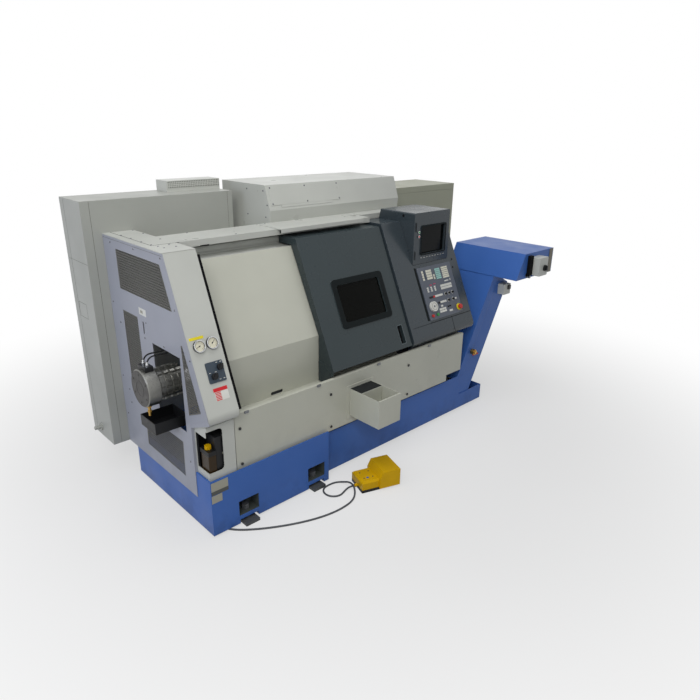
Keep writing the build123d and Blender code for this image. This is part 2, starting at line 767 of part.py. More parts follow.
# Coolant tank, with a low right end where the conveyor climbs out
with BuildPart() as coolant_tank:
    block((TANK_LEFT, TANK_RIGHT), (TANK_FRONT, TANK_REAR), (TANK_BOTTOM, TANK_TOP))
    inner_x = (TANK_LEFT + TANK_WALL, TANK_RIGHT - TANK_WALL)
    inner_y = (TANK_FRONT + TANK_WALL, TANK_REAR - TANK_WALL)
    inner_z = (TANK_BOTTOM + TANK_WALL, TANK_TOP + OVERRUN)
    block(inner_x, inner_y, inner_z, mode=Mode.SUBTRACT)
    low_x = (TANK_LOW_LEFT, TANK_RIGHT + OVERRUN)
    low_y = (TANK_FRONT - OVERRUN, TANK_REAR + OVERRUN)
    block(low_x, low_y, (TANK_LOW_TOP, TANK_TOP + OVERRUN), mode=Mode.SUBTRACT)
    for x in (TANK_LEFT, (TANK_LEFT + TANK_LOW_LEFT) / 2, TANK_LOW_LEFT):
        for y in (TANK_FRONT + TANK_LEG, TANK_REAR - TANK_LEG * 2):
            block((x, x + TANK_LEG), (y, y + TANK_LEG), (0, TANK_BOTTOM))
keep(coolant_tank, "coolant_tank")

# Slant bed with two guideways
with BuildPart() as slant_bed:
    bed_rise = SPINDLE_Z - SPINDLE_Y - BED_DROP * 2 * sin(radians(BED_LEAN))
    bed_outline = (
        (HEAD_REAR, BASE_TOP),
        (BASE_DEPTH, BASE_TOP),
        (BASE_DEPTH, BASE_DEPTH + bed_rise),
        (HEAD_REAR, HEAD_REAR + bed_rise),
    )
    prism(side(BED_LEFT), bed_outline, BEAM_END - BED_LEFT)
    bed_lean = radians(BED_LEAN)
    slope_foot = (HEAD_REAR - SPINDLE_Y - BED_DROP * sin(bed_lean)) / cos(bed_lean)
    slope_length = (BASE_DEPTH - HEAD_REAR) / cos(bed_lean)
    for share in GUIDE_SHARES:
        centre = slope_foot + share * slope_length
        guide = (centre - GUIDE_WIDTH / 2, centre + GUIDE_WIDTH / 2)
        pad(bed_plane(), (BED_LEFT, BEAM_END), guide, GUIDE_HEIGHT)
keep(slant_bed, "slant_bed")

# Headstock casting with the spindle bore
with BuildPart() as headstock:
    head_outline = (
        (HEAD_FRONT, BASE_TOP),
        (HEAD_REAR, BASE_TOP),
        (HEAD_REAR, HEAD_TOP - HEAD_CHAMFER),
        (HEAD_REAR - HEAD_CHAMFER, HEAD_TOP),
        (HEAD_FRONT + HEAD_CHAMFER, HEAD_TOP),
        (HEAD_FRONT, HEAD_TOP - HEAD_CHAMFER),
    )
    prism(side(HEAD_LEFT), head_outline, HEAD_RIGHT - HEAD_LEFT)
    bore_length = HEAD_RIGHT - HEAD_LEFT
    spindle_centre = (SPINDLE_Y, SPINDLE_Z)
    bore_radius = SPINDLE_RADIUS + RUNNING_FIT
    post(side(HEAD_LEFT), spindle_centre, bore_radius, bore_length, mode=Mode.SUBTRACT)
keep(headstock, "headstock")

# Spindle with its nose flange
with BuildPart() as spindle:
    shaft_start = CYLINDER_RIGHT
    post(side(shaft_start), spindle_centre, SPINDLE_RADIUS, HEAD_RIGHT + SEAT_GAP - shaft_start)
    flange_length = NOSE_FLANGE_LENGTH - SEAT_GAP
    post(side(HEAD_RIGHT + SEAT_GAP), spindle_centre, NOSE_FLANGE_RADIUS, flange_length)
    through = CHUCK_LEFT - shaft_start
    post(side(shaft_start), spindle_centre, DRAW_BORE_RADIUS, through, mode=Mode.SUBTRACT)
keep(spindle, "spindle")

# Chuck body with radial jaw slots
with BuildPart() as chuck:
    post(side(CHUCK_LEFT), spindle_centre, CHUCK_RADIUS, CHUCK_LENGTH)
    chamfer(chuck.edges().filter_by(GeomType.CIRCLE).sort_by(Axis.X)[-1], CHUCK_CHAMFER)
    post(side(CHUCK_LEFT), spindle_centre, CHUCK_BORE_RADIUS, CHUCK_LENGTH, mode=Mode.SUBTRACT)
    slot_plane = side(CHUCK_FACE - JAW_SLOT_DEPTH)
    with BuildSketch(slot_plane) as jaw_slots:
        with Locations(spindle_centre):
            with PolarLocations(CHUCK_RADIUS / 2, JAW_COUNT, start_angle=90):
                Rectangle(CHUCK_RADIUS + OVERRUN, JAW_WIDTH + SEAT_GAP * 2)
    extrude(jaw_slots.sketch, amount=JAW_SLOT_DEPTH, mode=Mode.SUBTRACT)
keep(chuck, "chuck")

# Stepped chuck jaws, one in each slot
for index in range(JAW_COUNT):
    angle = 90 + index * 360 / JAW_COUNT
    jaw_base = side(CHUCK_FACE - JAW_SLOT_DEPTH + SEAT_GAP)
    with BuildPart() as jaw:
        with BuildSketch(jaw_base) as jaw_root:
            with Locations(spindle_centre):
                with PolarLocations((JAW_INNER + JAW_OUTER) / 2, 1, start_angle=angle):
                    Rectangle(JAW_OUTER - JAW_INNER, JAW_WIDTH)
        extrude(jaw_root.sketch, amount=JAW_SLOT_DEPTH + JAW_HEIGHT / 2)
        step_inner = JAW_INNER + JAW_STEP
        with BuildSketch(jaw_base) as jaw_tip:
            with Locations(spindle_centre):
                with PolarLocations((step_inner + JAW_OUTER) / 2, 1, start_angle=angle):
                    Rectangle(JAW_OUTER - step_inner, JAW_WIDTH)
        extrude(jaw_tip.sketch, amount=JAW_SLOT_DEPTH + JAW_HEIGHT)
    keep(jaw, f"jaw_{index + 1}")

# Rotary cylinder: ribbed body that turns with the spindle
with BuildPart() as cylinder_body:
    barrel_plane = side(CAP_RIGHT + SEAT_GAP)
    barrel_length = CYLINDER_LENGTH - SEAT_GAP
    post(barrel_plane, spindle_centre, CYLINDER_RADIUS - RIB_HEIGHT, barrel_length)
    with BuildSketch(barrel_plane) as ribs:
        with Locations(spindle_centre):
            with PolarLocations(CYLINDER_RADIUS - RIB_HEIGHT, RIB_COUNT):
                Rectangle(RIB_HEIGHT * 2, RIB_WIDTH)
    extrude(ribs.sketch, amount=barrel_length)
    groove_pitch = CYLINDER_LENGTH / (GROOVE_COUNT + 1)
    for index in range(GROOVE_COUNT):
        groove_x = CAP_RIGHT + groove_pitch * (index + 1) - GROOVE_WIDTH / 2
        with BuildSketch(side(groove_x)) as groove:
            with Locations(spindle_centre):
                Circle(CYLINDER_RADIUS + OVERRUN)
                Circle(CYLINDER_RADIUS - GROOVE_DEPTH, mode=Mode.SUBTRACT)
        extrude(groove.sketch, amount=GROOVE_WIDTH, mode=Mode.SUBTRACT)
    journal_start = CAP_RIGHT - CAP_LENGTH / 2
    journal_length = CAP_LENGTH / 2 + SEAT_GAP
    post(side(journal_start), spindle_centre, JOURNAL_RADIUS, journal_length)
keep(cylinder_body, "cylinder_body")

# Fixed end cap that feeds the cylinder, with the connection block on top
with BuildPart() as cylinder_cap:
    post(side(-CYLINDER_OVERHANG), spindle_centre, CAP_RADIUS, CAP_LENGTH)
    chamfer(cylinder_cap.edges().filter_by(GeomType.CIRCLE), CAP_CHAMFER)
    block_left = CAP_RIGHT - CAP_BLOCK_LENGTH - CAP_CHAMFER * 2
    block_y = (SPINDLE_Y - CAP_BLOCK_WIDTH / 2, SPINDLE_Y + CAP_BLOCK_WIDTH / 2)
    block_z = (SPINDLE_Z, SPINDLE_Z + CAP_BLOCK_TOP)
    block((block_left, block_left + CAP_BLOCK_LENGTH), block_y, block_z)
    bore_depth = CAP_LENGTH / 2 + SEAT_GAP
    post(side(CAP_RIGHT), spindle_centre, JOURNAL_RADIUS + RUNNING_FIT, -bore_depth, mode=Mode.SUBTRACT)
keep(cylinder_cap, "cylinder_cap")

# Two thin pipes from the cap to the headstock
with BuildPart() as cylinder_pipes:
    for offset_y in (-PIPE_SPREAD / 2, PIPE_SPREAD / 2):
        pipe_y = FRONT + SPINDLE_Y + offset_y
        pipe_x = LEFT_END + block_left + CAP_BLOCK_LENGTH / 2
        crest = SPINDLE_Z + CAP_BLOCK_TOP + PIPE_RISE
        entry = HEAD_TOP - PIPE_SAG
        with BuildLine() as route:
            FilletPolyline(
                (pipe_x, pipe_y, SPINDLE_Z + CAP_BLOCK_TOP),
                (pipe_x, pipe_y, crest),
                (LEFT_END + CYLINDER_RIGHT, pipe_y, crest),
                (LEFT_END + HEAD_LEFT - PIPE_BEND * 2, pipe_y, entry),
                (LEFT_END + HEAD_LEFT, pipe_y, entry),
                radius=PIPE_BEND,
            )
        with BuildSketch(Plane(origin=route.line @ 0, z_dir=route.line % 0)) as section:
            RegularPolygon(PIPE_RADIUS, TUBE_SIDES)
        sweep(section.sketch, path=route.line)
keep(cylinder_pipes, "cylinder_pipes")

# Open drip tray under the cylinder, resting in the end cover's opening
with BuildPart() as drip_tray:
    tray_z = (OPENING_Z[0], OPENING_Z[0] + DRIP_HEIGHT)
    block((DRIP_LEFT, DRIP_RIGHT), (DRIP_FRONT, DRIP_REAR), tray_z)
    inner_x = (DRIP_LEFT + SHEET, DRIP_RIGHT - SHEET)
    inner_y = (DRIP_FRONT + SHEET, DRIP_REAR - SHEET)
    block(inner_x, inner_y, (tray_z[0] + SHEET, tray_z[1] + OVERRUN), mode=Mode.SUBTRACT)
keep(drip_tray, "drip_tray")

# Left end cover: one plate with cut-outs for the grilles and the cylinder
GRILLES = (UPPER_GRILLE, SIDE_GRILLE, NARROW_GRILLE, LOWER_GRILLE)
with BuildPart() as left_end_cover:
    cover_outline = (
        (END_FRONT, END_BOTTOM),
        (END_REAR, END_BOTTOM),
        (END_REAR, ROOF_BOTTOM),
        (gauge_y(ROOF_BOTTOM), ROOF_BOTTOM),
        (gauge_y(END_TOE_Z) + SHEET, END_TOE_Z),
        (END_FRONT, END_HEEL_Z),
    )
    prism(side(-SHEET), cover_outline, SHEET)
    for outline in GRILLES:
        prism(side(-SHEET), outline, SHEET, mode=Mode.SUBTRACT)
    pad(side(-SHEET), OPENING_Y, OPENING_Z, SHEET, mode=Mode.SUBTRACT)
    grip = (GRIP_Y - GRIP_WIDTH / 2, GRIP_Y + GRIP_WIDTH / 2)
    pad(side(-SHEET), grip, GRIP_Z, SHEET, GRIP_WIDTH / 3, mode=Mode.SUBTRACT)
keep(left_end_cover, "left_end_cover")

# Ventilation grilles set in the end cover's cut-outs
with BuildPart() as end_grilles:
    for outline in GRILLES:
        grille_plane = side(-(SHEET + MESH_SHEET) / 2)
        with BuildSketch(grille_plane) as plate:
            with BuildLine():
                Polyline(*outline, close=True)
            make_face()
        extrude(plate.sketch, amount=MESH_SHEET)
        low = min(z for y, z in outline)
        high = max(z for y, z in outline)
        near = min(y for y, z in outline)
        far = max(y for y, z in outline)
        rows = int((high - low) / MESH_PITCH) + 1
        with BuildSketch(grille_plane) as slots:
            with BuildLine():
                Polyline(*outline, close=True)
            make_face()
            offset(amount=-MESH_BORDER, kind=Kind.INTERSECTION)
            with Locations(((near + far) / 2, (low + high) / 2)):
                with GridLocations(0, MESH_PITCH, 1, rows):
                    Rectangle(far - near, MESH_BAR, mode=Mode.SUBTRACT)
                Rectangle(MESH_BAR, high - low, mode=Mode.SUBTRACT)
        extrude(slots.sketch, amount=MESH_SHEET, mode=Mode.SUBTRACT)
keep(end_grilles, "end_grilles")

# Gauge cover: leaning front with rounded nose, underside and right return
with BuildPart() as gauge_cover:
    lean = radians(GAUGE_LEAN)
    heel_y = GAUGE_FOOT_Y + GAUGE_UNDERSIDE * cos(lean)
    heel_z = GAUGE_FOOT_Z - GAUGE_UNDERSIDE * sin(lean)
    cover_path = (
        (gauge_y(ROOF_BOTTOM), ROOF_BOTTOM),
        (GAUGE_FOOT_Y, GAUGE_FOOT_Z),
        (heel_y, heel_z),
    )
    folded(side(0), cover_path, SHEET, GAUGE_WIDTH, Side.LEFT, GAUGE_NOSE)
    return_outline = (
        (gauge_y(ROOF_BOTTOM) + SHEET / 2, ROOF_BOTTOM - SHEET),
        (gauge_y(GAUGE_FOOT_Z + GAUGE_NOSE) + SHEET / 2, GAUGE_FOOT_Z + GAUGE_NOSE),
        (gauge_y(GAUGE_FOOT_Z + GAUGE_NOSE) + GAUGE_RETURN, GAUGE_FOOT_Z + GAUGE_NOSE),
        (gauge_y(ROOF_BOTTOM) + GAUGE_RETURN, ROOF_BOTTOM - SHEET),
    )
    prism(side(GAUGE_WIDTH - SHEET), return_outline, SHEET)
keep(gauge_cover, "gauge_cover")

# Two pressure gauges: rim, dished dial and pointer
with BuildPart() as pressure_gauges:
    for x, z in GAUGE_PLACES:
        centre = (x, gauge_up(z))
        post(gauge_face(), centre, GAUGE_RADIUS, GAUGE_HEIGHT)
        dish_plane = gauge_face(GAUGE_HEIGHT - GAUGE_DISH)
        post(dish_plane, centre, GAUGE_RADIUS - GAUGE_RIM, GAUGE_DISH, mode=Mode.SUBTRACT)
        with BuildSketch(dish_plane) as pointer:
            with Locations(centre):
                Circle(NEEDLE_WIDTH)
                Rectangle(GAUGE_RADIUS, NEEDLE_WIDTH, rotation=GAUGE_LEAN)
        extrude(pointer.sketch, amount=NEEDLE_HEIGHT)
keep(pressure_gauges, "pressure_gauges")

# Switch plate with two turn switches
with BuildPart() as switch_plate:
    plate_up = (gauge_up(SWITCH_Z[0]), gauge_up(SWITCH_Z[1]))
    pad(gauge_face(), SWITCH_X, plate_up, SWITCH_THICKNESS, SWITCH_CORNER)
    for x, z in SWITCH_KNOBS:
        hole = SWITCH_STEM_RADIUS + RUNNING_FIT
        post(gauge_face(), (x, gauge_up(z)), hole, SWITCH_THICKNESS, mode=Mode.SUBTRACT)
keep(switch_plate, "switch_plate")

for name, (x, z) in zip(("switch_knob_upper", "switch_knob_lower"), SWITCH_KNOBS):
    with BuildPart() as switch_knob:
        knob_base = gauge_face(SWITCH_THICKNESS + SEAT_GAP)
        post(knob_base, (x, gauge_up(z)), SWITCH_KNOB_RADIUS, SWITCH_KNOB_HEIGHT)
        with BuildSketch(knob_base) as knob_grip:
            with Locations((x, gauge_up(z))):
                SlotOverall(SWITCH_GRIP_LENGTH, SWITCH_GRIP_WIDTH, rotation=BED_LEAN)
        extrude(knob_grip.sketch, amount=SWITCH_GRIP_HEIGHT)
        stem = SWITCH_THICKNESS + SEAT_GAP
        post(knob_base, (x, gauge_up(z)), SWITCH_STEM_RADIUS, -stem)
    keep(switch_knob, name)

# Corner cover: front and left walls with one window round the corner
with BuildPart() as corner_cover:
    corner_path = ((CORNER_LEFT, END_FRONT), (CORNER_LEFT, CORNER_FRONT), (CORNER_RIGHT, CORNER_FRONT))
    folded(level(BASE_TOP), corner_path, SHEET, CORNER_TOP - BASE_TOP, Side.LEFT)
    under_front = GAUGE_FOOT_Z - PANEL_GAP - (CORNER_FRONT - GAUGE_FOOT_Y) * tan(lean)
    under_rear = GAUGE_FOOT_Z - PANEL_GAP - (END_FRONT - GAUGE_FOOT_Y) * tan(lean)
    trim_outline = (
        (CORNER_FRONT - OVERRUN, under_front + OVERRUN * tan(lean)),
        (END_FRONT + OVERRUN, under_rear - OVERRUN * tan(lean)),
        (END_FRONT + OVERRUN, CORNER_TOP + OVERRUN),
        (CORNER_FRONT - OVERRUN, CORNER_TOP + OVERRUN),
    )
    prism(side(CORNER_LEFT - OVERRUN), trim_outline, CORNER_RIGHT, mode=Mode.SUBTRACT)
    window_x = (CORNER_LEFT - OVERRUN * 2, CORNER_WINDOW_RIGHT)
    window_depth = -(SHEET + OVERRUN)
    window_plane = front(CORNER_FRONT - OVERRUN / 2)
    pad(window_plane, window_x, CORNER_WINDOW_Z, window_depth, CORNER_WINDOW_RADIUS, mode=Mode.SUBTRACT)
    side_y = (CORNER_FRONT - OVERRUN, END_FRONT - CORNER_POST)
    side_z = (CORNER_WINDOW_Z[0], CORNER_SIDE_TOP)
    pad(side(CORNER_LEFT - OVERRUN / 2), side_y, side_z, SHEET + OVERRUN, mode=Mode.SUBTRACT)
keep(corner_cover, "corner_cover")

# Lubricator behind the corner window: pump body, oil reservoir and filler cap
with BuildPart() as lubricator:
    block(LUBE_X, LUBE_Y, (BASE_TOP, LUBE_TOP))
    fillet(lubricator.edges().filter_by(Axis.Z), LUBE_FILLET)
keep(lubricator, "lubricator")

with BuildPart() as oil_reservoir:
    block((OIL_LEFT, LUBE_X[0]), OIL_Y, (BASE_TOP, OIL_TOP))
    fillet(oil_reservoir.edges().filter_by(Axis.Z).sort_by(Axis.X)[:2], LUBE_FILLET)
    filler_centre = ((OIL_LEFT + LUBE_X[0]) / 2, (OIL_Y[0] + OIL_Y[1]) / 2)
    filler_hole = FILLER_STEM_RADIUS + RUNNING_FIT
    stem_depth = FILLER_STEM + SEAT_GAP
    post(level(OIL_TOP), filler_centre, filler_hole, -stem_depth, mode=Mode.SUBTRACT)
keep(oil_reservoir, "oil_reservoir")

with BuildPart() as filler_cap:
    post(level(OIL_TOP + SEAT_GAP), filler_centre, FILLER_RADIUS, FILLER_HEIGHT)
    with BuildSketch(level(OIL_TOP + SEAT_GAP)) as cap_ribs:
        with Locations(filler_centre):
            with PolarLocations(FILLER_RADIUS, FILLER_RIBS):
                Circle(FILLER_RIB_RADIUS)
    extrude(cap_ribs.sketch, amount=FILLER_HEIGHT)
    post(level(OIL_TOP + SEAT_GAP), filler_centre, FILLER_STEM_RADIUS, -FILLER_STEM)
keep(filler_cap, "filler_cap")

# Front panel with the tray opening and its raised frame
with BuildPart() as front_panel:
    panel_outline = (
        (PANEL_LEFT, BASE_TOP),
        (PANEL_NOTCH_LEFT, BASE_TOP),
        (PANEL_NOTCH_LEFT, PANEL_NOTCH_Z),
        (PANEL_RIGHT, PANEL_NOTCH_Z),
        (PANEL_RIGHT, PANEL_TOP),
        (PANEL_LEFT, PANEL_TOP),
    )
    prism(front(PANEL_FRONT), panel_outline, -SHEET)
    flange_y = (PANEL_FRONT, PANEL_FRONT + PANEL_FLANGE)
    block((PANEL_LEFT, PANEL_RIGHT), flange_y, (PANEL_TOP - SHEET, PANEL_TOP))
    frame_x = (TRAY_X[0] - TRAY_FRAME, TRAY_X[1] + TRAY_FRAME)
    frame_z = (TRAY_Z[0] - TRAY_FRAME, TRAY_Z[1] + TRAY_FRAME)
    pad(front(PANEL_FRONT), frame_x, frame_z, SHEET)
    hole_x = (TRAY_X[0] - SEAT_GAP, TRAY_X[1] + SEAT_GAP)
    hole_z = (TRAY_Z[0] - SEAT_GAP, TRAY_Z[1] + SEAT_GAP)
    pad(front(PANEL_BACK + OVERRUN), hole_x, hole_z, SHEET * 2 + OVERRUN * 2, mode=Mode.SUBTRACT)
keep(front_panel, "front_panel")

# Parts tray that pushes in through the front panel
with BuildPart() as parts_tray:
    block(TRAY_X, (TRAY_FRONT, TRAY_REAR), TRAY_Z)
    inner_x = (TRAY_X[0] + SHEET, TRAY_X[1] - SHEET)
    inner_y = (TRAY_FRONT + SHEET, TRAY_REAR - SHEET)
    block(inner_x, inner_y, (TRAY_Z[0] + SHEET, TRAY_Z[1] + OVERRUN), mode=Mode.SUBTRACT)
    rim_y = (TRAY_FRONT, TRAY_FRONT + TRAY_RIM)
    block(TRAY_X, rim_y, (TRAY_Z[1] - SHEET, TRAY_Z[1]))
keep(parts_tray, "parts_tray")

# Fixed front cover: recess deck, upright lower face and leaning upper face
with BuildPart() as fixed_front_cover:
    break_lean = (COVER_BREAK_Y - DECK_Y) / (COVER_BREAK_Z - DECK_Z)
    sill_y = DECK_Y + (SILL_TOP - DECK_Z) * break_lean
    sill_path = ((PANEL_BACK, DECK_Z), (DECK_Y, DECK_Z), (sill_y, SILL_TOP))
    folded(side(COVER_LEFT), sill_path, SHEET, CONSOLE_LEFT - COVER_LEFT, Side.RIGHT)
    face_path = ((DECK_Y, DECK_Z), (COVER_BREAK_Y, COVER_BREAK_Z), (COVER_TOP_Y, COVER_TOP_Z))
    folded(side(COVER_LEFT), face_path, SHEET, COVER_RIGHT - COVER_LEFT, Side.RIGHT)
    pad(front(DECK_Y - OVERRUN), VENT_X, VENT_Z, -OVERRUN * 2, VENT_RADIUS, mode=Mode.SUBTRACT)
keep(fixed_front_cover, "fixed_front_cover")

# Header channel over the door opening, with the rail that carries the door
with BuildPart() as door_header:
    header_outline = (
        (HEADER_FRONT, HEADER_FLOOR),
        (HEADER_REAR, HEADER_FLOOR),
        (HEADER_REAR, ROOF_BOTTOM),
        (HEADER_REAR - SHEET, ROOF_BOTTOM),
        (HEADER_REAR - SHEET, RETURN_UNDERSIDE - SEAT_GAP),
        (RAIL_FRONT, RETURN_UNDERSIDE - SEAT_GAP),
        (RAIL_FRONT, RAIL_BOTTOM),
        (HEADER_REAR - SHEET, RAIL_BOTTOM),
        (HEADER_REAR - SHEET, HEADER_FLOOR_TOP),
        (HEADER_FRONT, HEADER_FLOOR_TOP),
    )
    prism(side(COVER_LEFT), header_outline, CONSOLE_LEFT - COVER_LEFT)
keep(door_header, "door_header")

# Sliding door: leaning skin with deep sides that clear the fixed cover
with BuildPart() as door_panel:
    door_outline = (
        (DOOR_FOOT_Y, DOOR_FOOT_Z),
        (door_y(DOOR_TOP), DOOR_TOP),
        (DOOR_RETURN_Y, DOOR_TOP),
        (DOOR_RETURN_Y, RETURN_UNDERSIDE),
        (DOOR_SIDE_Y, RETURN_UNDERSIDE),
        (DOOR_SIDE_Y, DOOR_SIDE_Z),
        (COVER_TOP_Y - DOOR_CLEARANCE, DOOR_SIDE_Z),
        (COVER_BREAK_Y - DOOR_CLEARANCE, COVER_BREAK_Z),
        (COVER_BREAK_Y - DOOR_CLEARANCE, DOOR_FOOT_Z),
    )
    prism(side(DOOR_LEFT), door_outline, DOOR_RIGHT - DOOR_LEFT)
    skin_y = DOOR_SKIN / cos(radians(DOOR_LEAN))
    cavity_outline = (
        (door_y(DOOR_FOOT_Z + DOOR_SKIN) + skin_y, DOOR_FOOT_Z + DOOR_SKIN),
        (door_y(RETURN_UNDERSIDE) + skin_y, RETURN_UNDERSIDE),
        (DOOR_RETURN_Y + OVERRUN, RETURN_UNDERSIDE),
        (DOOR_RETURN_Y + OVERRUN, DOOR_FOOT_Z + DOOR_SKIN),
    )
    cavity_length = DOOR_RIGHT - DOOR_LEFT - DOOR_SKIN * 2
    prism(side(DOOR_LEFT + DOOR_SKIN), cavity_outline, cavity_length, mode=Mode.SUBTRACT)
    pane_up = (door_up(PANE_Z[0]), door_up(PANE_Z[1]))
    seal_x = (PANE_X[0] - SEAL_BORDER, PANE_X[1] + SEAL_BORDER)
    seal_up = (pane_up[0] - SEAL_BORDER, pane_up[1] + SEAL_BORDER)
    pad(door_face(), seal_x, seal_up, SEAL_HEIGHT, PANE_RADIUS * 2)
    cut_depth = SEAL_HEIGHT + DOOR_SKIN
    pad(door_face(SEAL_HEIGHT), PANE_X, pane_up, -cut_depth, PANE_RADIUS, mode=Mode.SUBTRACT)
    handle_up = (door_up(HANDLE_Z[0]), door_up(HANDLE_Z[1]))
    cup_x = (HANDLE_X[0] - SHEET, HANDLE_X[1] + SHEET)
    cup_up = (handle_up[0] - SHEET, handle_up[1] + SHEET)
    pad(door_face(-DOOR_SKIN), cup_x, cup_up, -HANDLE_DEPTH)
    pad(door_face(), HANDLE_X, handle_up, -HANDLE_DEPTH, HANDLE_RADIUS, mode=Mode.SUBTRACT)
keep(door_panel, "door_panel")

with BuildPart() as door_window:
    lap_x = (PANE_X[0] - PANE_LAP, PANE_X[1] + PANE_LAP)
    lap_up = (pane_up[0] - PANE_LAP, pane_up[1] + PANE_LAP)
    pad(door_face(-DOOR_SKIN), lap_x, lap_up, -PANE_THICKNESS, PANE_RADIUS)
keep(door_window, "door_window")

# Operator console: leaning front with rounded nose, open at the back
with BuildPart() as console_housing:
    brow_z = CONSOLE_TOP - CONSOLE_BROW
    back_y = DECK_Y
    back_z = DOOR_FOOT_Z + (back_y - CONSOLE_DEPTH - console_y(DOOR_FOOT_Z)) / tan(radians(DOOR_LEAN))
    console_outline = (
        (console_y(CONSOLE_BOTTOM), CONSOLE_BOTTOM),
        (console_y(CONSOLE_TOP), CONSOLE_TOP),
        (CONSOLE_BACK, CONSOLE_TOP),
        (CONSOLE_BACK, brow_z),
        (console_y(brow_z) + CONSOLE_DEPTH, brow_z),
        (back_y, back_z),
        (back_y, CONSOLE_BOTTOM),
    )
    prism(side(CONSOLE_LEFT), console_outline, CONSOLE_RIGHT - CONSOLE_LEFT)
    fillet(console_housing.edges().filter_by(Axis.X).sort_by(Axis.Y)[0], CONSOLE_NOSE)
    hem_z = CONSOLE_BOTTOM + CONSOLE_HEM
    skin_y = CONSOLE_SKIN / cos(radians(DOOR_LEAN))
    lid_z = CONSOLE_TOP - CONSOLE_SKIN
    hollow_outline = (
        (console_y(hem_z) + skin_y, hem_z),
        (console_y(lid_z) + skin_y, lid_z),
        (CONSOLE_BACK + OVERRUN, lid_z),
        (CONSOLE_BACK + OVERRUN, hem_z),
    )
    hollow_length = CONSOLE_RIGHT - CONSOLE_LEFT - CONSOLE_SKIN * 2
    prism(side(CONSOLE_LEFT + CONSOLE_SKIN), hollow_outline, hollow_length, mode=Mode.SUBTRACT)
    seam_up = (door_up(CONSOLE_SEAM_Z), door_up(CONSOLE_SEAM_Z) + SEAM_WIDTH)
    seam_x = (KEYBOARD_X[0], CONSOLE_RIGHT + OVERRUN)
    pad(console_face(), seam_x, seam_up, -SEAM_DEPTH, mode=Mode.SUBTRACT)
    split_x = (CONSOLE_SEAM_X, CONSOLE_SEAM_X + SEAM_WIDTH)
    split_up = (door_up(CONSOLE_BOTTOM), seam_up[0])
    pad(console_face(), split_x, split_up, -SEAM_DEPTH, mode=Mode.SUBTRACT)
keep(console_housing, "console_housing")

# Monitor housing that stands upright on the console, with its screen and two lamps
with BuildPart() as monitor_housing:
    monitor_front = console_y(MONITOR_Z[0])
    monitor_outline = (
        (monitor_front, MONITOR_Z[0]),
        (monitor_front, MONITOR_Z[1]),
        (MONITOR_BACK_Y[0], MONITOR_Z[1]),
        (MONITOR_BACK_Y[1], CONSOLE_TOP),
        (console_y(CONSOLE_TOP), CONSOLE_TOP),
    )
    prism(side(MONITOR_X[0]), monitor_outline, MONITOR_X[1] - MONITOR_X[0])
    top_edges = monitor_housing.faces().sort_by(Axis.Z)[-1].edges().filter_by(Axis.Y)
    fillet(top_edges, MONITOR_EDGE)
    pad(front(monitor_front), SCREEN_X, SCREEN_Z, -SCREEN_RECESS, SCREEN_RADIUS, mode=Mode.SUBTRACT)
    for z in LAMP_Z:
        post(front(monitor_front), (LAMP_X, z), LAMP_RADIUS, LAMP_HEIGHT)
keep(monitor_housing, "monitor_housing")

with BuildPart() as screen:
    screen_plane = front(monitor_front + SCREEN_RECESS)
    pad(screen_plane, SCREEN_X, SCREEN_Z, SCREEN_THICKNESS, SCREEN_RADIUS)
keep(screen, "screen")

# Keyboard panel with its blocks of flat keys, override knobs and stop ring
KEYBOARD_UP = (door_up(KEYBOARD_Z[0]), door_up(KEYBOARD_Z[1]))
KEYBOARD_HEIGHT = KEYBOARD_UP[1] - KEYBOARD_UP[0]
PLATE_TOP = console_face(KEYBOARD_THICKNESS)


def key_place(x, z):
    """Place of a control on the keyboard's face, from its X along the keyboard and its height."""
    return (KEYBOARD_X[0] + x, door_up(z))


with BuildPart() as keyboard_panel:
    pad(console_face(), KEYBOARD_X, KEYBOARD_UP, KEYBOARD_THICKNESS, KEYBOARD_CORNER)
    for left, bottom, width, height, columns, rows in KEY_BLOCK_SHARES:
        pitch_x = width * KEYBOARD_WIDTH / columns
        pitch_y = height * KEYBOARD_HEIGHT / rows
        middle_x = KEYBOARD_X[0] + (left + width / 2) * KEYBOARD_WIDTH
        middle_y = KEYBOARD_UP[0] + (bottom + height / 2) * KEYBOARD_HEIGHT
        with BuildSketch(PLATE_TOP) as keys:
            with Locations((middle_x, middle_y)):
                with GridLocations(pitch_x, pitch_y, columns, rows):
                    Rectangle(pitch_x - KEY_GAP, pitch_y - KEY_GAP)
        extrude(keys.sketch, amount=KEY_HEIGHT)
    for across, up in OVERRIDE_SHARES:
        centre = (KEYBOARD_X[0] + across * KEYBOARD_WIDTH, KEYBOARD_UP[0] + up * KEYBOARD_HEIGHT)
        post(PLATE_TOP, centre, OVERRIDE_RADIUS, OVERRIDE_HEIGHT)
    post(PLATE_TOP, key_place(*STOP_PLACE), STOP_RING_RADIUS, STOP_RING_HEIGHT)
    through = KEYBOARD_THICKNESS + STOP_RING_HEIGHT
    stop_hole = STOP_NECK_RADIUS + SEAT_GAP
    post(console_face(), key_place(*STOP_PLACE), stop_hole, through, mode=Mode.SUBTRACT)
    wheel_hole = WHEEL_STEM_RADIUS + RUNNING_FIT
    post(console_face(), key_place(*WHEEL_PLACE), wheel_hole, through, mode=Mode.SUBTRACT)
    for place in (HOLD_PLACE, START_PLACE):
        button_hole = BUTTON_RADIUS + SEAT_GAP
        post(console_face(), key_place(*place), button_hole, through, mode=Mode.SUBTRACT)
keep(keyboard_panel, "keyboard_panel")

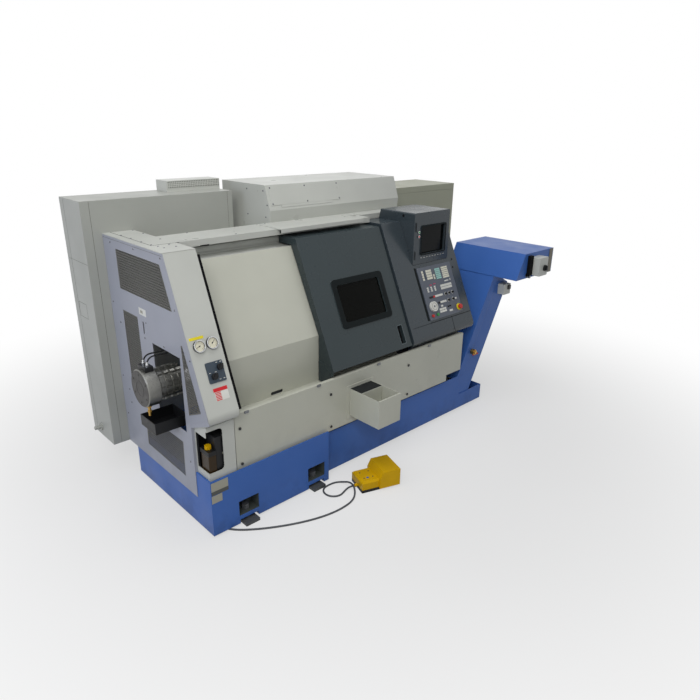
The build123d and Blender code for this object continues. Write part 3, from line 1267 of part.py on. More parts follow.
with BuildPart() as emergency_stop:
    post(console_face(STOP_TRAVEL), key_place(*STOP_PLACE), STOP_NECK_RADIUS, STOP_HEIGHT)
    head_plane = console_face(STOP_TRAVEL + STOP_HEIGHT - STOP_HEAD)
    post(head_plane, key_place(*STOP_PLACE), STOP_RADIUS, STOP_HEAD)
    head_rims = emergency_stop.edges().filter_by(GeomType.CIRCLE).group_by(SortBy.RADIUS)[-1]
    chamfer(head_rims.sort_by(Axis.Y)[0], STOP_HEAD / 4)
keep(emergency_stop, "emergency_stop")

with BuildPart() as handwheel:
    wheel_base = console_face(KEYBOARD_THICKNESS + SEAT_GAP)
    post(wheel_base, key_place(*WHEEL_PLACE), WHEEL_RADIUS, WHEEL_HEIGHT)
    post(wheel_base, key_place(*WHEEL_PLACE), WHEEL_STEM_RADIUS, -KEYBOARD_THICKNESS)
    dimple_x = WHEEL_PLACE[0] + WHEEL_DIMPLE_PITCH
    dimple_plane = console_face(KEYBOARD_THICKNESS + SEAT_GAP + WHEEL_HEIGHT)
    dimple_place = key_place(dimple_x, WHEEL_PLACE[1])
    post(dimple_plane, dimple_place, WHEEL_DIMPLE_RADIUS, -WHEEL_DIMPLE_RADIUS, mode=Mode.SUBTRACT)
keep(handwheel, "handwheel")

for name, place in (("feed_hold", HOLD_PLACE), ("cycle_start", START_PLACE)):
    with BuildPart() as push_button:
        length = KEYBOARD_THICKNESS + BUTTON_HEIGHT - BUTTON_TRAVEL
        post(console_face(BUTTON_TRAVEL + SEAT_GAP), key_place(*place), BUTTON_RADIUS, length)
    keep(push_button, name)

# Roof: one folded cover, stepped down in front of the cabinet, with the lid over the door and its pull
with BuildPart() as roof_cover:
    roof_outline = (
        (-SHEET, gauge_y(ROOF_BOTTOM)),
        (GAUGE_WIDTH, gauge_y(ROOF_BOTTOM)),
        (GAUGE_WIDTH, ROOF_FRONT),
        (CONSOLE_LEFT, ROOF_FRONT),
        (CONSOLE_LEFT, ROOF_CONSOLE_FRONT),
        (PANEL_RIGHT, ROOF_CONSOLE_FRONT),
        (PANEL_RIGHT, REAR_BACK),
        (REAR_LEFT, REAR_BACK),
        (REAR_LEFT, TOP_BOX_FOOT_Y),
        (GAUGE_WIDTH, TOP_BOX_FOOT_Y),
        (GAUGE_WIDTH, END_REAR),
        (-SHEET, END_REAR),
    )
    well_x = (GAUGE_WIDTH - SHEET, REAR_LEFT + SHEET)
    well_y = (TOP_BOX_FOOT_Y - SHEET, END_REAR - SHEET)
    block(well_x, well_y, (WELL_FLOOR, ROOF_BOTTOM))
    hollow_y = (TOP_BOX_FOOT_Y, END_REAR)
    block((GAUGE_WIDTH, REAR_LEFT), hollow_y, (WELL_FLOOR + SHEET, ROOF_BOTTOM), mode=Mode.SUBTRACT)
    prism(level(ROOF_BOTTOM), roof_outline, ROOF_SHEET)
    lip_z = (ROOF_BOTTOM - ROOF_LIP, ROOF_BOTTOM)
    block((COVER_LEFT, CONSOLE_LEFT), (ROOF_FRONT, ROOF_FRONT + SHEET), lip_z)
    right_lip_y = (ROOF_CONSOLE_FRONT, ROOF_CONSOLE_FRONT + SHEET)
    block((CONSOLE_LEFT, PANEL_RIGHT - SHEET), right_lip_y, lip_z)
    block(LID_X, LID_Y, (ROOF_TOP, ROOF_TOP + LID_HEIGHT))
    block(LID_X, (LID_Y[0], LID_Y[0] + SHEET), (ROOF_TOP - LID_FOLD, ROOF_TOP))
    block(PULL_X, PULL_Y, (ROOF_TOP, ROOF_TOP + PULL_HEIGHT))
keep(roof_cover, "roof_cover")

# Rear cover: back wall, rear housing and right end wall
with BuildPart() as rear_cover:
    wall_height = ROOF_BOTTOM - REAR_BOTTOM
    rear_path = (
        (0, END_REAR),
        (REAR_LEFT, END_REAR),
        (REAR_LEFT, REAR_BACK),
        (PANEL_RIGHT, REAR_BACK),
        (PANEL_RIGHT, HOUSING_FRONT),
    )
    folded(level(REAR_BOTTOM), rear_path, SHEET, wall_height, Side.RIGHT)
    notch_y = (END_REAR - OVERRUN, END_REAR + OVERRUN)
    notch_z = (WELL_FLOOR + SHEET, ROOF_TOP)
    block((GAUGE_WIDTH, REAR_LEFT), notch_y, notch_z, mode=Mode.SUBTRACT)
    wall_rise = (DECK_Y - CONSOLE_DEPTH / 2 - console_y(DOOR_FOOT_Z)) / tan(radians(DOOR_LEAN))
    wall_low_z = DOOR_FOOT_Z + wall_rise
    wall_high_z = CONSOLE_TOP - CONSOLE_SKIN * 3
    wall_outline = (
        (PANEL_BACK, PANEL_NOTCH_Z),
        (PANEL_BACK, PANEL_TOP - SHEET),
        (PANEL_FRONT + PANEL_FLANGE, PANEL_TOP - SHEET),
        (DECK_Y + SHEET * 2, PANEL_TOP - SHEET),
        (DECK_Y + SHEET * 2, wall_low_z),
        (console_y(wall_high_z) + CONSOLE_DEPTH / 2, wall_high_z),
        (WALL_STEP_Y, wall_high_z),
        (WALL_STEP_Y, ROOF_BOTTOM),
        (HOUSING_FRONT, ROOF_BOTTOM),
        (HOUSING_FRONT, PANEL_NOTCH_Z),
    )
    prism(side(PANEL_RIGHT - SHEET), wall_outline, SHEET)
keep(rear_cover, "rear_cover")

# Top box at the rear, with a screwed access panel on its leaning face
with BuildPart() as rear_top_cover:
    box_outline = (
        (TOP_BOX_FOOT_Y, ROOF_TOP),
        (TOP_BOX_KNEE_Y, TOP_BOX_KNEE_Z),
        (TOP_BOX_CREST_Y, TOP_BOX_CREST_Z),
        (REAR_BACK, TOP_BOX_CREST_Z),
        (REAR_BACK, ROOF_TOP),
    )
    box_length = TOP_BOX_X[1] - TOP_BOX_X[0]
    prism(side(TOP_BOX_X[0]), box_outline, box_length)
    open_face = rear_top_cover.faces().sort_by(Axis.Z)[0]
    offset(amount=-SHEET, openings=open_face, kind=Kind.INTERSECTION)
    slope = hypot(TOP_BOX_CREST_Y - TOP_BOX_KNEE_Y, TOP_BOX_CREST_Z - TOP_BOX_KNEE_Z)
    slope_normal = (
        0,
        -(TOP_BOX_CREST_Z - TOP_BOX_KNEE_Z) / slope,
        (TOP_BOX_CREST_Y - TOP_BOX_KNEE_Y) / slope,
    )
    slope_origin = (LEFT_END, FRONT + TOP_BOX_KNEE_Y, TOP_BOX_KNEE_Z)
    slope_plane = Plane(origin=slope_origin, x_dir=(1, 0, 0), z_dir=slope_normal)
    access_x = tuple(TOP_BOX_X[0] + share * box_length for share in ACCESS_SHARES)
    pad(slope_plane, access_x, (ACCESS_BORDER, slope - ACCESS_BORDER), ACCESS_HEIGHT)
keep(rear_top_cover, "rear_top_cover")

# Electric cabinet, open at the rear, with rows of devices on its back plate and a cable gland
with BuildPart() as electric_cabinet:
    block(CABINET_X, (CABINET_FRONT, CABINET_REAR), CABINET_Z)
    inner_x = (CABINET_X[0] + SHEET, CABINET_X[1] - SHEET)
    inner_z = (CABINET_Z[0] + SHEET, CABINET_Z[1] - SHEET)
    block(inner_x, (CABINET_FRONT + SHEET, CABINET_REAR + OVERRUN), inner_z, mode=Mode.SUBTRACT)
    plate_x = (inner_x[0] + inner_x[1]) / 2
    plate_z = (inner_z[0] + inner_z[1]) / 2
    row_width = inner_x[1] - inner_x[0] - DEVICE_GAP * 2
    pitch_z = (inner_z[1] - inner_z[0]) / (DEVICE_ROWS + 1)
    with BuildSketch(front(CABINET_FRONT + SHEET)) as devices:
        with Locations((plate_x, plate_z)):
            with GridLocations(0, pitch_z, 1, DEVICE_ROWS):
                Rectangle(row_width, pitch_z - DEVICE_GAP)
    extrude(devices.sketch, amount=-DEVICE_DEPTH)
    gland_centre = (CABINET_FRONT + GLAND_SETBACK, GLAND_Z)
    post(side(CABINET_X[0]), gland_centre, GLAND_RADIUS, -GLAND_FLANGE)
    post(side(CABINET_X[0]), gland_centre, GLAND_RADIUS / 2, -GLAND_LENGTH)
keep(electric_cabinet, "electric_cabinet")

with BuildPart() as cabinet_door:
    leaf_y = (CABINET_REAR + SEAT_GAP, CABINET_REAR + SEAT_GAP + CABINET_DOOR)
    leaf_x = (CABINET_X[0], CABINET_X[1])
    block(leaf_x, leaf_y, CABINET_Z)
    inset_x = (leaf_x[0] + SHEET * CABINET_DOOR_INSET, leaf_x[1] - SHEET * CABINET_DOOR_INSET)
    inset_z = (CABINET_Z[0] + SHEET * CABINET_DOOR_INSET, CABINET_Z[1] - SHEET * CABINET_DOOR_INSET)
    block(inset_x, (leaf_y[0], leaf_y[1] - SHEET), inset_z, mode=Mode.SUBTRACT)
keep(cabinet_door, "cabinet_door")

# Fan box on the cabinet, with slots in its front
with BuildPart() as cabinet_fan_box:
    fan_z = (CABINET_Z[1], CABINET_Z[1] + FAN_HEIGHT)
    block(FAN_X, (FAN_FRONT, FAN_FRONT + FAN_DEPTH), fan_z)
    fan_floor = cabinet_fan_box.faces().sort_by(Axis.Z)[0]
    offset(amount=-SHEET, openings=fan_floor, kind=Kind.INTERSECTION)
    slot_z = tuple(fan_z[0] + share * FAN_HEIGHT for share in FAN_SLOT_SHARES)
    fan_pitch = (FAN_X[1] - FAN_X[0] - SHEET * 2) / FAN_SLOTS
    with BuildSketch(front(FAN_FRONT)) as fan_slots:
        with Locations(((FAN_X[0] + FAN_X[1]) / 2, (slot_z[0] + slot_z[1]) / 2)):
            with GridLocations(fan_pitch, 0, FAN_SLOTS, 1):
                Rectangle(fan_pitch - FAN_SLOT_GAP, slot_z[1] - slot_z[0])
    extrude(fan_slots.sketch, amount=-SHEET, mode=Mode.SUBTRACT)
keep(cabinet_fan_box, "cabinet_fan_box")

# Housing at the right rear on four feet, with a lid line below its top
with BuildPart() as rear_housing:
    block((PANEL_RIGHT, HOUSING_RIGHT), (HOUSING_FRONT, HOUSING_REAR), (HOUSING_FOOT, HOUSING_TOP))
    inner_x = (PANEL_RIGHT + SHEET, HOUSING_RIGHT - SHEET)
    inner_y = (HOUSING_FRONT + SHEET, HOUSING_REAR - SHEET)
    inner_z = (HOUSING_FOOT + SHEET, HOUSING_TOP - SHEET)
    block(inner_x, inner_y, inner_z, mode=Mode.SUBTRACT)
    lid_z = (HOUSING_TOP - HOUSING_LID - SEAM_WIDTH, HOUSING_TOP - HOUSING_LID)
    pad(front(HOUSING_FRONT), (PANEL_RIGHT, HOUSING_RIGHT), lid_z, -SEAM_DEPTH, mode=Mode.SUBTRACT)
    for x in (PANEL_RIGHT, HOUSING_RIGHT - HOUSING_FOOT_SIZE):
        for y in (HOUSING_FRONT, HOUSING_REAR - HOUSING_FOOT_SIZE):
            foot_x = (x, x + HOUSING_FOOT_SIZE)
            block(foot_x, (y, y + HOUSING_FOOT_SIZE), (0, HOUSING_FOOT))
keep(rear_housing, "rear_housing")

# Conveyor trough: open run in the tank, then a closed duct up the incline
TROUGH_WIDTH = CONVEYOR_REAR - TROUGH_FRONT
DUCT_SHIFT = DUCT_DEPTH / sin(radians(CONVEYOR_LEAN))
with BuildPart() as conveyor_trough:
    heel_z = INCLINE_TOP - DUCT_DEPTH * cos(radians(CONVEYOR_LEAN))
    trough_outline = (
        (TROUGH_LEFT, TROUGH_BOTTOM),
        (TROUGH_LEFT, TROUGH_TOP),
        (incline_x(TROUGH_TOP), TROUGH_TOP),
        (incline_x(INCLINE_TOP), INCLINE_TOP),
        (incline_x(heel_z) + DUCT_SHIFT, heel_z),
        (incline_x(TROUGH_BOTTOM) + DUCT_SHIFT, TROUGH_BOTTOM),
    )
    prism(front(TROUGH_FRONT), trough_outline, -TROUGH_WIDTH)
    wall_x = TANK_WALL / sin(radians(CONVEYOR_LEAN))
    run_outline = (
        (TROUGH_LEFT + TANK_WALL, TROUGH_BOTTOM + TANK_WALL),
        (TROUGH_LEFT + TANK_WALL, TROUGH_TOP + OVERRUN),
        (incline_x(TROUGH_TOP + OVERRUN) - wall_x, TROUGH_TOP + OVERRUN),
        (incline_x(TROUGH_TOP) - wall_x, TROUGH_TOP),
        (incline_x(TROUGH_TOP) + wall_x, TROUGH_TOP - TANK_WALL),
        (incline_x(INCLINE_TOP + DUCT_DEPTH) + wall_x, INCLINE_TOP + DUCT_DEPTH),
        (incline_x(INCLINE_TOP + DUCT_DEPTH) + DUCT_SHIFT - wall_x, INCLINE_TOP + DUCT_DEPTH),
        (incline_x(TROUGH_BOTTOM + TANK_WALL) + DUCT_SHIFT - wall_x, TROUGH_BOTTOM + TANK_WALL),
    )
    prism(front(TROUGH_FRONT + TANK_WALL), run_outline, TANK_WALL * 2 - TROUGH_WIDTH, mode=Mode.SUBTRACT)
    strip = FLANGE_WIDTH / sin(radians(CONVEYOR_LEAN))
    strip_outline = (
        (incline_x(TANK_TOP), TANK_TOP),
        (incline_x(HOOD_BOTTOM - SHEET), HOOD_BOTTOM - SHEET),
        (incline_x(HOOD_BOTTOM - SHEET) + strip, HOOD_BOTTOM - SHEET),
        (incline_x(TANK_TOP) + strip, TANK_TOP),
    )
    prism(front(TROUGH_FRONT), strip_outline, FLANGE_HEIGHT)
keep(conveyor_trough, "conveyor_trough")

# Chip belt: a closed band with flights, round the bend and over the drive sprockets
DUCT_MIDDLE = DUCT_SHIFT / 2
BEND_X = incline_x(BELT_LEVEL) + DUCT_MIDDLE
HEAD_X = incline_x(BELT_HEAD_Z) + DUCT_MIDDLE
LEVEL_RUN = BEND_X - BELT_TAIL
CLIMB_RUN = (BELT_HEAD_Z - BELT_LEVEL) / sin(radians(CONVEYOR_LEAN))


def belt_band(radius, mode=Mode.ADD):
    """Level and climbing runs of the belt as two joined slots."""
    with Locations(((BELT_TAIL + BEND_X) / 2, BELT_LEVEL)):
        SlotCenterToCenter(LEVEL_RUN, radius * 2, mode=mode)
    with Locations(((BEND_X + HEAD_X) / 2, (BELT_LEVEL + BELT_HEAD_Z) / 2)):
        SlotCenterToCenter(CLIMB_RUN, radius * 2, rotation=CONVEYOR_LEAN, mode=mode)


with BuildPart() as conveyor_belt:
    belt_front = TROUGH_FRONT + BELT_MARGIN
    belt_width = TROUGH_WIDTH - BELT_MARGIN * 2
    outer = BELT_RADIUS + BELT_THICKNESS
    with BuildSketch(front(belt_front)) as band:
        belt_band(outer)
        for index in range(FLIGHT_COUNT):
            share = (index + 1) / (FLIGHT_COUNT + 1)
            with Locations((BELT_TAIL + LEVEL_RUN * share, BELT_LEVEL)):
                Rectangle(FLIGHT_WIDTH, (outer + FLIGHT_HEIGHT) * 2)
            climb = (BEND_X + (HEAD_X - BEND_X) * share, BELT_LEVEL + (BELT_HEAD_Z - BELT_LEVEL) * share)
            with Locations(climb):
                Rectangle(FLIGHT_WIDTH, (outer + FLIGHT_HEIGHT) * 2, rotation=CONVEYOR_LEAN)
        belt_band(BELT_RADIUS, mode=Mode.SUBTRACT)
    extrude(band.sketch, amount=-belt_width)
keep(conveyor_belt, "conveyor_belt")

with BuildPart() as conveyor_shaft:
    head_centre = (HEAD_X, BELT_HEAD_Z)
    shaft_length = HOOD_REAR - HOOD_FRONT - SHEET
    post(front(HOOD_FRONT + SHEET / 2), head_centre, DRIVE_RADIUS, -shaft_length)
    for y in (belt_front + SPROCKET_INSET, belt_front + belt_width - SPROCKET_INSET - SPROCKET_WIDTH):
        post(front(y), head_centre, BELT_RADIUS - SEAT_GAP, -SPROCKET_WIDTH)
keep(conveyor_shaft, "conveyor_shaft")

# Conveyor hood: sheet box open below, over the head of the belt
with BuildPart() as conveyor_hood:
    skin_x = SHEET / sin(radians(CONVEYOR_LEAN))
    hood_outline = (
        (incline_x(HOOD_BOTTOM) - skin_x, HOOD_BOTTOM),
        (incline_x(HOOD_TOP) - skin_x, HOOD_TOP),
        (HOOD_RIGHT, HOOD_TOP),
        (HOOD_RIGHT, HOOD_BOTTOM),
    )
    prism(front(HOOD_FRONT), hood_outline, HOOD_FRONT - HOOD_REAR)
    hood_inside = (
        (incline_x(HOOD_BOTTOM - OVERRUN), HOOD_BOTTOM - OVERRUN),
        (incline_x(HOOD_TOP - SHEET), HOOD_TOP - SHEET),
        (HOOD_RIGHT - SHEET, HOOD_TOP - SHEET),
        (HOOD_RIGHT - SHEET, HOOD_BOTTOM - OVERRUN),
    )
    inside_depth = HOOD_FRONT - HOOD_REAR + SHEET * 2
    prism(front(HOOD_FRONT + SHEET), hood_inside, inside_depth, mode=Mode.SUBTRACT)
    bearing = DRIVE_RADIUS + RUNNING_FIT
    post(front(HOOD_FRONT), head_centre, bearing, HOOD_FRONT - HOOD_REAR, mode=Mode.SUBTRACT)
keep(conveyor_hood, "conveyor_hood")

# Isolator box on the hood's end and junction box on the duct
with BuildPart() as terminal_boxes:
    pad(front(HOOD_FRONT), ISOLATOR_X, ISOLATOR_Z, ISOLATOR_DEPTH, BOX_CORNER)
    knob_x = ISOLATOR_X[0] + ISOLATOR_KNOB_SHARES[0] * (ISOLATOR_X[1] - ISOLATOR_X[0])
    knob_z = ISOLATOR_Z[0] + ISOLATOR_KNOB_SHARES[1] * (ISOLATOR_Z[1] - ISOLATOR_Z[0])
    isolator_face = HOOD_FRONT - ISOLATOR_DEPTH
    stem_hole = SWITCH_STEM_RADIUS + RUNNING_FIT
    post(front(isolator_face), (knob_x, knob_z), stem_hole, -ISOLATOR_KNOB_HEIGHT, mode=Mode.SUBTRACT)
    pad(front(TROUGH_FRONT), JUNCTION_X, JUNCTION_Z, JUNCTION_DEPTH, BOX_CORNER)
keep(terminal_boxes, "terminal_boxes")

with BuildPart() as isolator_knob:
    knob_plane = front(isolator_face - SEAT_GAP)
    post(knob_plane, (knob_x, knob_z), ISOLATOR_KNOB_RADIUS, ISOLATOR_KNOB_HEIGHT / 2)
    with BuildSketch(knob_plane) as isolator_grip:
        with Locations((knob_x, knob_z)):
            SlotOverall(ISOLATOR_GRIP_LENGTH, ISOLATOR_GRIP_WIDTH, rotation=90)
    extrude(isolator_grip.sketch, amount=ISOLATOR_KNOB_HEIGHT)
    post(knob_plane, (knob_x, knob_z), SWITCH_STEM_RADIUS, SEAT_GAP - ISOLATOR_KNOB_HEIGHT)
keep(isolator_knob, "isolator_knob")

# Drain valve on the duct and its lever
with BuildPart() as drain_valve:
    post(front(TROUGH_FRONT - FLANGE_HEIGHT), VALVE_PLACE, VALVE_RADIUS, VALVE_LENGTH)
    body_y = TROUGH_FRONT - FLANGE_HEIGHT - (VALVE_LENGTH - VALVE_BODY_LENGTH) / 2
    post(front(body_y), VALVE_PLACE, VALVE_BODY_RADIUS, VALVE_BODY_LENGTH)
    stem_z = VALVE_PLACE[1] - VALVE_BODY_RADIUS
    stem_place = (VALVE_PLACE[0], body_y - VALVE_BODY_LENGTH / 2)
    post(level(stem_z + VALVE_STEM_LENGTH / 2), stem_place, VALVE_STEM_RADIUS, -VALVE_STEM_LENGTH)
keep(drain_valve, "drain_valve")

with BuildPart() as valve_lever:
    lever_z = stem_z - VALVE_STEM_LENGTH / 2 + LEVER_THICKNESS
    with BuildSketch(level(lever_z)) as lever:
        with Locations((stem_place[0] + LEVER_LENGTH / 2 - LEVER_WIDTH / 2, stem_place[1])):
            SlotOverall(LEVER_LENGTH, LEVER_WIDTH)
        with Locations(stem_place):
            Circle(VALVE_STEM_RADIUS + RUNNING_FIT, mode=Mode.SUBTRACT)
    extrude(lever.sketch, amount=-LEVER_THICKNESS)
keep(valve_lever, "valve_lever")

# Saddle that runs along the bed on both guideways
with BuildPart() as saddle:
    saddle_x = (SADDLE_LEFT, SADDLE_LEFT + SADDLE_LENGTH)
    saddle_lift = GUIDE_HEIGHT + SEAT_GAP
    pad(bed_plane(lift=saddle_lift), saddle_x, (SADDLE_LOW, SADDLE_HIGH), SADDLE_THICKNESS)
keep(saddle, "saddle")

# Cross slide up the lean, with the turret head at its lower end
SLIDE_LIFT = saddle_lift + SADDLE_THICKNESS + SEAT_GAP
HEAD_HALF = TURRET_HEAD_SIZE / 2
with BuildPart() as cross_slide:
    slide_x = (saddle_x[0] + SLIDE_INSET, saddle_x[1] - SLIDE_INSET)
    pad(bed_plane(lift=SLIDE_LIFT), slide_x, (SLIDE_LOW, SLIDE_HIGH), SLIDE_THICKNESS)
    head_x = (SADDLE_LEFT, SADDLE_LEFT + TURRET_HEAD_LENGTH)
    head_up = (TURRET_REACH - HEAD_HALF, TURRET_REACH + HEAD_HALF)
    head_depth = BED_DROP + HEAD_HALF - SLIDE_LIFT - SLIDE_THICKNESS / 2
    pad(bed_plane(lift=SLIDE_LIFT + SLIDE_THICKNESS / 2), head_x, head_up, head_depth)
    turret_y = SPINDLE_Y + TURRET_REACH * cos(radians(BED_LEAN))
    turret_z = SPINDLE_Z + TURRET_REACH * sin(radians(BED_LEAN))
    turret_centre = (turret_y, turret_z)
    shaft_hole = TURRET_SHAFT_RADIUS + RUNNING_FIT
    post(side(SADDLE_LEFT), turret_centre, shaft_hole, TURRET_HEAD_LENGTH / 2, mode=Mode.SUBTRACT)
keep(cross_slide, "cross_slide")

# Tool turret: twelve-sided disc with tool shanks, turning on its shaft
with BuildPart() as turret:
    turret_right = SADDLE_LEFT - SEAT_GAP
    with BuildSketch(side(turret_right - TURRET_LENGTH)) as disc:
        with Locations(turret_centre):
            RegularPolygon(TURRET_RADIUS, TURRET_SIDES)
    extrude(disc.sketch, amount=TURRET_LENGTH)
    post(side(turret_right), turret_centre, TURRET_SHAFT_RADIUS, TURRET_HEAD_LENGTH / 2)
    tool_plane = side(turret_right - TURRET_LENGTH / 2 - TOOL_SIZE / 2)
    with BuildSketch(tool_plane) as tools:
        with Locations(turret_centre):
            with PolarLocations(TURRET_RADIUS + TOOL_PROUD - TOOL_LENGTH / 2, TOOL_COUNT, start_angle=15):
                Rectangle(TOOL_LENGTH, TOOL_SIZE)
    extrude(tools.sketch, amount=TOOL_SIZE)
keep(turret, "turret")

# Foot switch: base and guard in one body, with a hood over the pedal
with BuildPart() as footswitch_body:
    rear_x = (0, PEDAL_REAR_LENGTH)
    half_y = (-PEDAL_HALF_WIDTH, PEDAL_HALF_WIDTH)
    pad(pedal_level(0), rear_x, half_y, PEDAL_REAR_TOP)
    chamfer(footswitch_body.faces().sort_by(Axis.Z)[-1].edges(), PEDAL_CHAMFER)
    hood_outline = (
        (PEDAL_REAR_LENGTH - PEDAL_CHAMFER, PEDAL_HOOD_BOTTOM),
        (PEDAL_REAR_LENGTH - PEDAL_CHAMFER, PEDAL_REAR_TOP),
        (PEDAL_REAR_LENGTH + PEDAL_CHAMFER, PEDAL_HOOD_TOP),
        (PEDAL_HOOD_LENGTH, PEDAL_HOOD_TOP),
        (PEDAL_HOOD_LENGTH, PEDAL_HOOD_BOTTOM),
    )
    prism(pedal_side(-PEDAL_HOOD_HALF), hood_outline, PEDAL_HOOD_HALF * 2)
    pad(pedal_level(0), (0, PEDAL_HOOD_LENGTH - PEDAL_CHAMFER), half_y, PEDAL_HOOD_BOTTOM)
    mouth_outline = (
        (PEDAL_REAR_LENGTH + PEDAL_WALL, PEDAL_HOOD_BOTTOM),
        (PEDAL_REAR_LENGTH + PEDAL_WALL, PEDAL_REAR_TOP),
        (PEDAL_REAR_LENGTH + PEDAL_CHAMFER + PEDAL_WALL, PEDAL_HOOD_TOP - PEDAL_WALL),
        (PEDAL_HOOD_LENGTH + OVERRUN, PEDAL_HOOD_TOP - PEDAL_WALL),
        (PEDAL_HOOD_LENGTH + OVERRUN, PEDAL_HOOD_BOTTOM),
    )
    mouth_width = (PEDAL_HOOD_HALF - PEDAL_WALL) * 2
    prism(pedal_side(PEDAL_WALL - PEDAL_HOOD_HALF), mouth_outline, mouth_width, mode=Mode.SUBTRACT)
    pin_centre = (PEDAL_PIN_X, PEDAL_PIN_Z)
    pin_length = (PEDAL_HOOD_HALF - PEDAL_WALL / 2) * 2
    post(pedal_side(PEDAL_WALL / 2 - PEDAL_HOOD_HALF), pin_centre, PEDAL_PIN_RADIUS, pin_length)
    cord_plane = Plane(
        origin=(LEFT_END + PEDAL_X, FRONT + PEDAL_Y, CORD_EXIT_Z),
        z_dir=(-cos(radians(PEDAL_TURN)), -sin(radians(PEDAL_TURN)), 0),
    )
    post(cord_plane, (0, 0), CORD_GLAND_RADIUS, CORD_GLAND_LENGTH)
keep(footswitch_body, "footswitch_body")

# Pedal that swings on the pin inside the hood
with BuildPart() as footswitch_pedal:
    tread_outline = (
        (PEDAL_PIN_X, PEDAL_PIN_Z - PEDAL_PLATE / 2),
        (PEDAL_PLATE_END, PEDAL_PIN_Z - PEDAL_PLATE / 2),
        (PEDAL_PLATE_END, PEDAL_PIN_Z + PEDAL_PLATE / 2),
        (PEDAL_PIN_X, PEDAL_PIN_Z + PEDAL_PLATE / 2),
    )
    prism(pedal_side(-PEDAL_PLATE_HALF), tread_outline, PEDAL_PLATE_HALF * 2)
    boss_radius = PEDAL_PIN_RADIUS + PEDAL_PLATE / 2
    post(pedal_side(-PEDAL_PLATE_HALF), pin_centre, boss_radius, PEDAL_PLATE_HALF * 2)
    pin_hole = PEDAL_PIN_RADIUS + RUNNING_FIT
    post(pedal_side(-PEDAL_PLATE_HALF), pin_centre, pin_hole, PEDAL_PLATE_HALF * 2, mode=Mode.SUBTRACT)
keep(footswitch_pedal, "footswitch_pedal")


def cord_radii(points):
    """Largest tangent arc at each corner of a route, from its two runs and its turn."""
    radii = []
    for before, here, after in zip(points, points[1:], points[2:]):
        run_in = Vector(*here) - Vector(*before)
        run_out = Vector(*after) - Vector(*here)
        half_turn = radians(run_in.get_angle(run_out)) / 2
        radii.append(CORD_BEND_SHARE * min(run_in.length, run_out.length) / tan(half_turn))
    return radii


# Foot switch cord on the floor: one loose loop, then under the base to its inlet
with BuildPart() as footswitch_cord:
    cord_turn = radians(PEDAL_TURN)
    lead_out = (CORD_GLAND_LENGTH, CORD_GLAND_LENGTH + CORD_LEAD)
    lead = [(PEDAL_X - far * cos(cord_turn), PEDAL_Y - far * sin(cord_turn), CORD_EXIT_Z) for far in lead_out]
    cord_points = [(LEFT_END + x, FRONT + y, z) for x, y, z in (*lead, *CORD_ROUTE)]
    radii = cord_radii(cord_points)
    with BuildLine() as cord_line:
        FilletPolyline(*cord_points, radius=radii)
    with BuildSketch(Plane(origin=cord_line.line @ 0, z_dir=cord_line.line % 0)) as cord_section:
        RegularPolygon(CORD_RADIUS, TUBE_SIDES)
    sweep(cord_section.sketch, path=cord_line.line)
print("cord radii", [round(radius) for radius in radii])
keep(footswitch_cord, "footswitch_cord")
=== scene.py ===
import json
import math

import bpy
import bmesh
from mathutils import Matrix, Vector


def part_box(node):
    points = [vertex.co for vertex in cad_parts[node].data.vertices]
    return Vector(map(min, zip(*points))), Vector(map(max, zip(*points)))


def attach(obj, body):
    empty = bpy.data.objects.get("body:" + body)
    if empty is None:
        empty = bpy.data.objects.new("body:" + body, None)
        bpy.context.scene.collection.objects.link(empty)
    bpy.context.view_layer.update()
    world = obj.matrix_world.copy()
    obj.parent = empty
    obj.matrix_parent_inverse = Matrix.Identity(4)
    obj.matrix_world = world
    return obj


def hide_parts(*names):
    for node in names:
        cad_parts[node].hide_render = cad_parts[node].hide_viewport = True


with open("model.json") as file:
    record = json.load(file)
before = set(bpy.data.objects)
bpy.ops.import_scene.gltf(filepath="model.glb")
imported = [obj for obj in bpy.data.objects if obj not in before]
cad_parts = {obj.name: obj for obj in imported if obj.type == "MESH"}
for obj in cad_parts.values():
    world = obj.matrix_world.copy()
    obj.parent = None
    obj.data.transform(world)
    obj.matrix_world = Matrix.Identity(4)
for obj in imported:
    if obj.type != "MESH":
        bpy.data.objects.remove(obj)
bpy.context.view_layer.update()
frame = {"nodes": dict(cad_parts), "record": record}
nodes = frame["nodes"]
MM = 0.001
base_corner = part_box("base_casting")[0]


def at(x, y, z):
    """Point in the row frame from a station in millimetres off the base's front left corner."""
    return Vector((base_corner[0] + x * MM, base_corner[1] + y * MM, z * MM))


def extent(node):
    """Span of a CAD piece as stations: (left, right), (front, rear), (bottom, top)."""
    low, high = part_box(node)
    start = (base_corner[0], base_corner[1], 0.0)
    return tuple(((a - c) / MM, (b - c) / MM) for a, b, c in zip(low, high, start))


def shown(name, data):
    """New object of the scene that holds the data."""
    thing = bpy.data.objects.new(name, data)
    bpy.context.scene.collection.objects.link(thing)
    return thing


# Camera at the photo's place
CAMERA_PLACE = (-1354.4, -2518.8, 2219.0)
CAMERA_ANGLES = (43.5803, 20.9977, 0.79155)
SENSOR_WIDTH = 36.0
FOCAL_PIXELS, PHOTO_PIXELS = 592.54, 700.0
FAR_CLIP = 100.0


